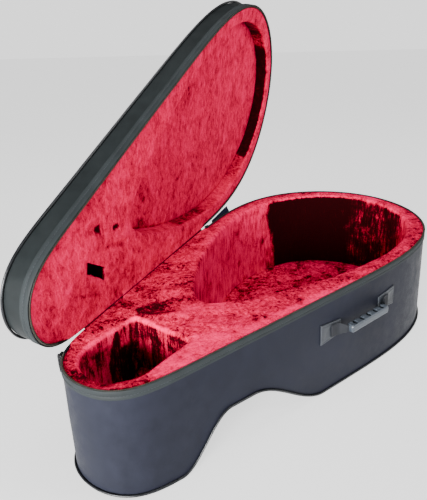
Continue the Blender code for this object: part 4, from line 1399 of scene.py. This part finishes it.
def patch_seam(name, x, side, tall, slope):
    """Stitches round a patch, a little in from its edge."""
    inset = 0.0036
    half = 0.5 * PATCH_LENGTH - inset
    corners = [(-half, -(tall - slope * half) + inset), (half, -(tall + slope * half) + inset),
               (half, tall + slope * half - inset), (-half, tall - slope * half - inset)]
    loop = even_loop(np.array(corners), 48)
    step = np.roll(loop, -1, axis=0) - np.roll(loop, 1, axis=0)
    step /= np.linalg.norm(step, axis=1)[:, None]
    local = -side * loop[:, 0]
    centres = on_wall(x, -1, HANDLE_DROP, local, loop[:, 1], 0.0022)
    ahead = on_wall(x, -1, HANDLE_DROP, local - side * 0.001 * step[:, 0],
                    loop[:, 1] + 0.001 * step[:, 1], 0.0022)
    alongs = ahead - centres
    alongs /= np.linalg.norm(alongs, axis=1)[:, None]
    outs = np.broadcast_to(np.array(wall_place(x, -1, HANDLE_DROP))[:3, 1], centres.shape)
    capsules("patch_seam_" + name, centres, alongs, outs, (0.0022, 0.0007, 0.0005),
             LOOKS["thread"], CASE, "base")


def grip_section(count_flat, count_round, radius):
    """Rounded rectangle of the grip's section, as shares: out of the wall and up."""
    wide = 0.5 * GRIP_THICKNESS
    tall = 0.5 * GRIP_HEIGHT
    corners = ((1, -1), (1, 1), (-1, 1), (-1, -1))
    points = []
    for number, (sy, sz) in enumerate(corners):
        centre = np.array([sy * (wide - radius), sz * (tall - radius)])
        first = -0.5 * np.pi + 0.5 * np.pi * number
        for turn in np.linspace(first, first + 0.5 * np.pi, count_round):
            points.append(centre + radius * np.array([math.cos(turn), math.sin(turn)]))
        after = corners[(number + 1) % 4]
        goal = np.array([after[0] * (wide - radius), after[1] * (tall - radius)])
        goal += radius * np.array([math.cos(first + 0.5 * np.pi), math.sin(first + 0.5 * np.pi)])
        for share in np.linspace(0.0, 1.0, count_flat + 2)[1:-1]:
            points.append(points[-1] * 0.0 + (1.0 - share) * points[-1 - 0] + share * goal)
    return np.array(points)


def grip_body():
    """Moulded grip: smooth outside, with round-ended finger slots open to the wall side."""
    section = grip_section_even()
    tall = 0.5 * GRIP_HEIGHT
    front = GRIP_STANDOFF + GRIP_THICKNESS
    radius = 0.5 * SLOT_WIDTH
    slot_end = front - SLOT_FRONT_WALL - radius
    stations = 0.5 * GRIP_LENGTH * np.linspace(-1.0, 1.0, 330)
    rows = []
    for x in stations:
        end = 0.5 * GRIP_LENGTH - abs(x)
        shrink = 1.0 if end > 0.004 else math.sqrt(max(0.0, 1.0 - (1.0 - end / 0.004) ** 2))
        shrink = 0.30 + 0.70 * shrink
        y = GRIP_STANDOFF + 0.5 * GRIP_THICKNESS + section[:, 0] * shrink
        z = section[:, 1] * shrink * (1.0 - 0.05 * math.cos(math.pi * x / GRIP_LENGTH))
        nearest = SLOT_SPAN / (GRIP_SLOTS - 1)
        number = min(max(round(x / nearest + 0.5 * (GRIP_SLOTS - 1)), 0), GRIP_SLOTS - 1)
        off = x - nearest * (number - 0.5 * (GRIP_SLOTS - 1))
        if abs(off) < radius + 0.0006:
            past = np.maximum(y - slot_end, 0.0)
            gap = radius - np.hypot(off, past)
            cut = smooth(gap, -0.0005, 0.0007)
            floor = tall - SLOT_DEPTH
            rest = np.clip((z + tall) / (2.0 * tall), 0.0, 1.0)
            limited = np.where(z > 0.0, -0.0 + (floor / tall) * z, z)
            z = z + cut * np.where(rest > 0.5, limited - z, 0.0)
        ridge = 0.5 + 0.5 * math.cos(2.0 * math.pi * (x / nearest + 0.5))
        inner = smooth(slot_end + 0.001 - y, 0.0, 0.004) * (z > 0.3 * tall)
        z = z + 0.0006 * ridge * inner * (abs(x) < 0.5 * SLOT_SPAN + 0.006)
        rows.append(np.stack([np.full_like(y, x), y, z], -1))
    return rows


def grip_section_even():
    """The section's points at even steps, starting at the lower wall-side corner."""
    return even_loop(grip_section(6, 6, 0.0036), 72)


def handle_grip():
    axis = wall_place(HANDLE_X, -1, HANDLE_DROP) @ Matrix.Translation((0.0, AXIS_STANDOFF, 0.0))
    rows = grip_body()
    middle = [np.array([[row[0, 0], GRIP_STANDOFF + 0.5 * GRIP_THICKNESS, 0.0]]) for row in
              (rows[0], rows[-1])]
    count = len(rows[0])
    points = np.concatenate(rows + middle)
    faces = grid_faces(len(rows), count, False)
    last = (len(rows) - 1) * count
    for j in range(count):
        k = (j + 1) % count
        faces.append((k, j, len(points) - 2))
        faces.append((last + j, last + k, len(points) - 1))
    make_piece("grip", apply_matrix(axis, points), faces, LOOKS["grip"], CASE, "handle",
               ["handle_grip"], sharp=50.0)


STRAP_PATH = ((0.0, 15.2), (2.0, 15.0), (5.0, 13.6), (9.0, 9.4), (13.0, 5.6), (17.0, 4.2),
              (22.0, 3.9), (28.0, 3.75))


def handle_straps():
    """Webbing from inside each end of the grip down on to its patch, where it is sewn flat."""
    for name, side in (("narrow", 1.0), ("wide", -1.0)):
        start = 0.5 * GRIP_LENGTH - 0.002
        along, rise = np.array(STRAP_PATH).T * 0.001
        run = np.linspace(0.0, along[-1], 60)
        height = np.interp(run, along, rise)
        for settle in range(6):
            height[1:-1] = 0.25 * height[:-2] + 0.5 * height[1:-1] + 0.25 * height[2:]
        half = 0.0058 + 0.0050 * smooth(run, 0.001, 0.016)
        across = np.linspace(-1.0, 1.0, 33)
        top = []
        low = []
        for step in range(len(run)):
            up = half[step] * across
            edge = (1.0 - np.abs(across)) * half[step]
            end = run[-1] - run[step]
            bend = np.clip(np.minimum(edge, end + 0.0003) / 0.0009, 0.0, 1.0)
            thick = 0.0011 * np.sqrt(1.0 - (1.0 - bend) ** 2)
            local = side * (start + run[step]) + 0.0 * up
            cords = 0.00012 * np.cos(across * half[step] * 2.0 * np.pi / 0.0022)
            top.append(on_wall(HANDLE_X, -1, HANDLE_DROP, local, up,
                               height[step] + thick + cords))
            low.append(on_wall(HANDLE_X, -1, HANDLE_DROP, local, up, height[step] - thick))
        item = slab_piece("strap_" + name, apply_matrix(CASE, np.stack(top)),
                          apply_matrix(CASE, np.stack(low)), LOOKS["webbing"],
                          Matrix.Identity(4), None, ["handle_strap_" + name])
        spots = [on_wall(HANDLE_X, -1, HANDLE_DROP, np.array(side * reach), np.array(0.0),
                         np.array(0.008)) for reach in (start + 0.018, start + 0.003)]
        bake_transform(item)


# Zip sliders


SLIDER_SIZE = (0.012, 0.0075, 0.009)
PULL_SIZE = (0.006, 0.0014, 0.026)
PULL_STANDOFF = 0.0022
TAPE_OUT = 0.0019


def plate_rows(loop, levels):
    """Section loops of a plate with rounded edges: levels are (inset, height) pairs."""
    normals = loop_normals(loop)
    middle = loop.mean(axis=0)
    rows = []
    for inset, height in levels:
        rows.append(upright(loop - inset * normals, height))
    for share in (0.6, 0.25, 0.05):
        rows.append(upright(middle + share * (rows[len(levels) - 1][:, :2] - middle),
                            levels[-1][1]))
    for share in (0.05, 0.25, 0.6):
        rows.append(upright(middle + share * (rows[0][:, :2] - middle), levels[0][1]))
    return rows


def standing(rows):
    """Turn plates from the XY plane to stand in XZ, their thickness along Y."""
    return [row[:, [0, 2, 1]] for row in rows]


def round_bar(line, radius, sides=8):
    """Closed bar along an open line of points, with its ends closed."""
    along = np.gradient(line, axis=0)
    along /= np.linalg.norm(along, axis=1)[:, None]
    side = np.cross(along, np.array([1.0, 0.0, 0.0]))
    weak = np.linalg.norm(side, axis=1) < 0.2
    side[weak] = np.cross(along[weak], np.array([0.0, 0.0, 1.0]))
    side /= np.linalg.norm(side, axis=1)[:, None]
    other = np.cross(along, side)
    turns = np.linspace(0.0, 2.0 * np.pi, sides, endpoint=False)
    rows = [line[:, None, :] + radius * (np.cos(turns)[None, :, None] * side[:, None, :]
                                         + np.sin(turns)[None, :, None] * other[:, None, :])]
    points = np.concatenate([rows[0].reshape(-1, 3), line[:1], line[-1:]])
    faces = grid_faces(len(line), sides, False)
    last = (len(line) - 1) * sides
    for j in range(sides):
        k = (j + 1) % sides
        faces.append((k, j, len(points) - 2))
        faces.append((last + j, last + k, len(points) - 1))
    return points, faces


def zip_slider(name, x):
    """Slider over the tape, with its bridge, and a hanging pull with a hole near its tip."""
    place = wall_place(x, 1, 0.5 * SLIDER_SIZE[2])
    length, thick, tall = SLIDER_SIZE
    half_long = 0.5 * length
    nose = [(-half_long, 0.30 * tall), (-0.2 * length, 0.48 * tall), (0.32 * length, 0.40 * tall),
            (half_long, 0.24 * tall)]
    outline_points = np.array(nose + [(px, -pz) for px, pz in reversed(nose)])
    loop = even_loop(outline_points, 64)
    for settle in range(4):
        loop = 0.25 * np.roll(loop, 1, axis=0) + 0.5 * loop + 0.25 * np.roll(loop, -1, axis=0)
    low = TAPE_OUT
    high = TAPE_OUT + 0.42 * thick
    levels = ((0.0005, low), (0.0, low + 0.0004), (0.0, low + 0.0010), (0.0005, low + 0.0013),
              (0.0006, high - 0.0014), (0.0001, high - 0.0011), (0.0, high - 0.0006),
              (0.0006, high))
    body = ring_piece("slider_" + name, [apply_matrix(place, row) for row in
                                         standing(plate_rows(loop, levels))],
                      LOOKS["metal"], CASE, "base", ["zip_slider_" + name], sharp=40.0)
    turn = np.linspace(0.0, np.pi, 15)
    arch = np.stack([0.0 * turn, high - 0.0004 + 0.0032 * np.sin(turn), 0.0026 * np.cos(turn)], -1)
    points, faces = round_bar(arch, 0.0006)
    make_piece("slider_bridge_" + name, apply_matrix(place, points), faces, LOOKS["metal"], CASE,
               "base")
    zip_pull(name, place @ Matrix.Translation((0.0, TAPE_OUT + 0.5 * thick + PULL_STANDOFF, 0.0)))
    return body


def zip_pull(name, hang):
    width, thick, tall = PULL_SIZE
    half = [(0.34 * width, 0.0018), (0.38 * width, -0.004), (0.5 * width, -0.38 * tall),
            (0.5 * width, -0.55 * tall), (0.42 * width, -0.93 * tall), (0.25 * width, -tall)]
    outer = even_loop(np.array(half + [(-px, pz) for px, pz in reversed(half)]), 96)
    for settle in range(3):
        outer = 0.25 * np.roll(outer, 1, axis=0) + 0.5 * outer + 0.25 * np.roll(outer, -1, axis=0)
    centre = np.array([0.0, -0.80 * tall])
    away = outer - centre
    size = np.linalg.norm(away, axis=1)[:, None]
    hole = centre + 0.0013 * away / size
    rows = []
    for loop, height, inset in ((hole, 0.5, 0.0), (hole, -0.5, 0.0), (outer, -0.5, 0.0003),
                                (outer, -0.3, 0.0), (outer, 0.3, 0.0), (outer, 0.5, 0.0003)):
        shrink = loop - inset * away / size
        rows.append(upright(shrink, height * thick))
    ring_piece("pull_" + name, [apply_matrix(hang, row) for row in standing(rows)],
               LOOKS["metal"], CASE, "pull_" + name, ["zip_pull_" + name], sharp=40.0)


# Camera, light and backdrop


def add_camera():
    data = bpy.data.cameras.new("photo_camera")
    data.sensor_width = SENSOR
    data.lens = FOCAL_PIXELS * SENSOR / FRAME_HEIGHT
    data.clip_end = 20.0
    item = bpy.data.objects.new("photo_camera", data)
    forward = Vector((
        math.cos(CAMERA_YAW) * math.cos(CAMERA_PITCH),
        math.sin(CAMERA_YAW) * math.cos(CAMERA_PITCH),
        math.sin(CAMERA_PITCH),
    ))
    right = Vector((math.sin(CAMERA_YAW), -math.cos(CAMERA_YAW), 0.0))
    up = right.cross(forward)
    rolled_right = right * math.cos(CAMERA_ROLL) + up * math.sin(CAMERA_ROLL)
    rolled_up = up * math.cos(CAMERA_ROLL) - right * math.sin(CAMERA_ROLL)
    pose = Matrix.Identity(4)
    pose.col[0][:3] = rolled_right
    pose.col[1][:3] = rolled_up
    pose.col[2][:3] = -forward
    pose.col[3][:3] = CAMERA_PLACE
    item.matrix_world = CASE @ pose
    bpy.context.collection.objects.link(item)
    bpy.context.scene.camera = item


def add_softbox(name, place, target, size, power, colour=(1.0, 1.0, 1.0)):
    data = bpy.data.lights.new(name, "AREA")
    data.shape = "DISK"
    data.size = size
    data.energy = power
    data.color = colour
    item = bpy.data.objects.new(name, data)
    item.location = place
    item.rotation_euler = (Vector(target) - Vector(place)).to_track_quat("-Z", "Y").to_euler()
    bpy.context.collection.objects.link(item)


def add_floor():
    reach = 40.0
    low = -0.0006
    mesh = bpy.data.meshes.new("studio_floor")
    mesh.from_pydata([(-reach, -reach, low), (reach, -reach, low), (reach, reach, low),
                      (-reach, reach, low)], [], [(0, 1, 2, 3)])
    floor = bpy.data.objects.new("studio_floor", mesh)
    look = Look("pale_floor", 0.95, 0.05)
    look.shader.inputs["Base Color"].default_value = (0.34, 0.34, 0.34, 1.0)
    look.shader.inputs["Emission Color"].default_value = (1.0, 1.0, 1.0, 1.0)
    look.shader.inputs["Emission Strength"].default_value = 1.35
    mesh.materials.append(look.made)
    bpy.context.collection.objects.link(floor)


def add_sky():
    """A dim room above a bright band at the horizon, where it meets the floor."""
    world = bpy.context.scene.world or bpy.data.worlds.new("studio")
    bpy.context.scene.world = world
    world.use_nodes = True
    nodes = world.node_tree.nodes
    links = world.node_tree.links
    height = nodes.new("ShaderNodeSeparateXYZ")
    links.new(nodes.new("ShaderNodeTexCoord").outputs["Generated"], height.inputs[0])
    fade = nodes.new("ShaderNodeMapRange")
    fade.interpolation_type = "SMOOTHSTEP"
    links.new(height.outputs["Z"], fade.inputs["Value"])
    for socket, value in (("From Min", 0.10), ("From Max", 0.34), ("To Min", 1.6),
                          ("To Max", 0.12)):
        fade.inputs[socket].default_value = value
    background = nodes["Background"]
    background.inputs["Color"].default_value = (1.0, 1.0, 1.0, 1.0)
    links.new(fade.outputs["Result"], background.inputs["Strength"])


def add_studio():
    add_floor()
    add_sky()
    add_softbox("window", (-2.1, -0.40, 0.42), (-0.4, 0.0, 0.12), 0.7, 150.0)
    add_softbox("overhead", (0.1, -0.2, 2.3), (0.0, 0.0, 0.1), 1.2, 31.0)
    add_softbox("front_fill", (0.8, -2.1, 1.6), (0.0, 0.0, 0.25), 0.8, 34.0)


PLYWOOD = ("base_side_near", "base_side_far", "base_bottom_panel", "lid_side_wall",
           "lid_roof_panel")


def dress_nodes():
    slots = {row["node"]: row["material_slot"] for row in frame["record"]["subparts"]}
    looks = {"cover": "cover", "plush": "cavity", "shell": "shell", "tape": "tape",
             "coil": "coil", "piping": "piping", "moulding": "grip", "metal": "metal"}
    for name, item in frame["nodes"].items():
        item.data.materials.clear()
        item.data.materials.append(LOOKS[looks[slots[name]]])


dress_nodes()
add_camera()
add_studio()
base_cover()
base_bottom()
all_piping()
all_rims()
lid_cover()
base_linings()
floor_pads()
lid_linings()
hinge_cloth()
hinge_seams()
zip_end_tab()
handle_patches()
handle_grip()
handle_straps()
for slider_name, slider_x in zip(("narrow", "wide"), SLIDER_X):
    zip_slider(slider_name, slider_x)
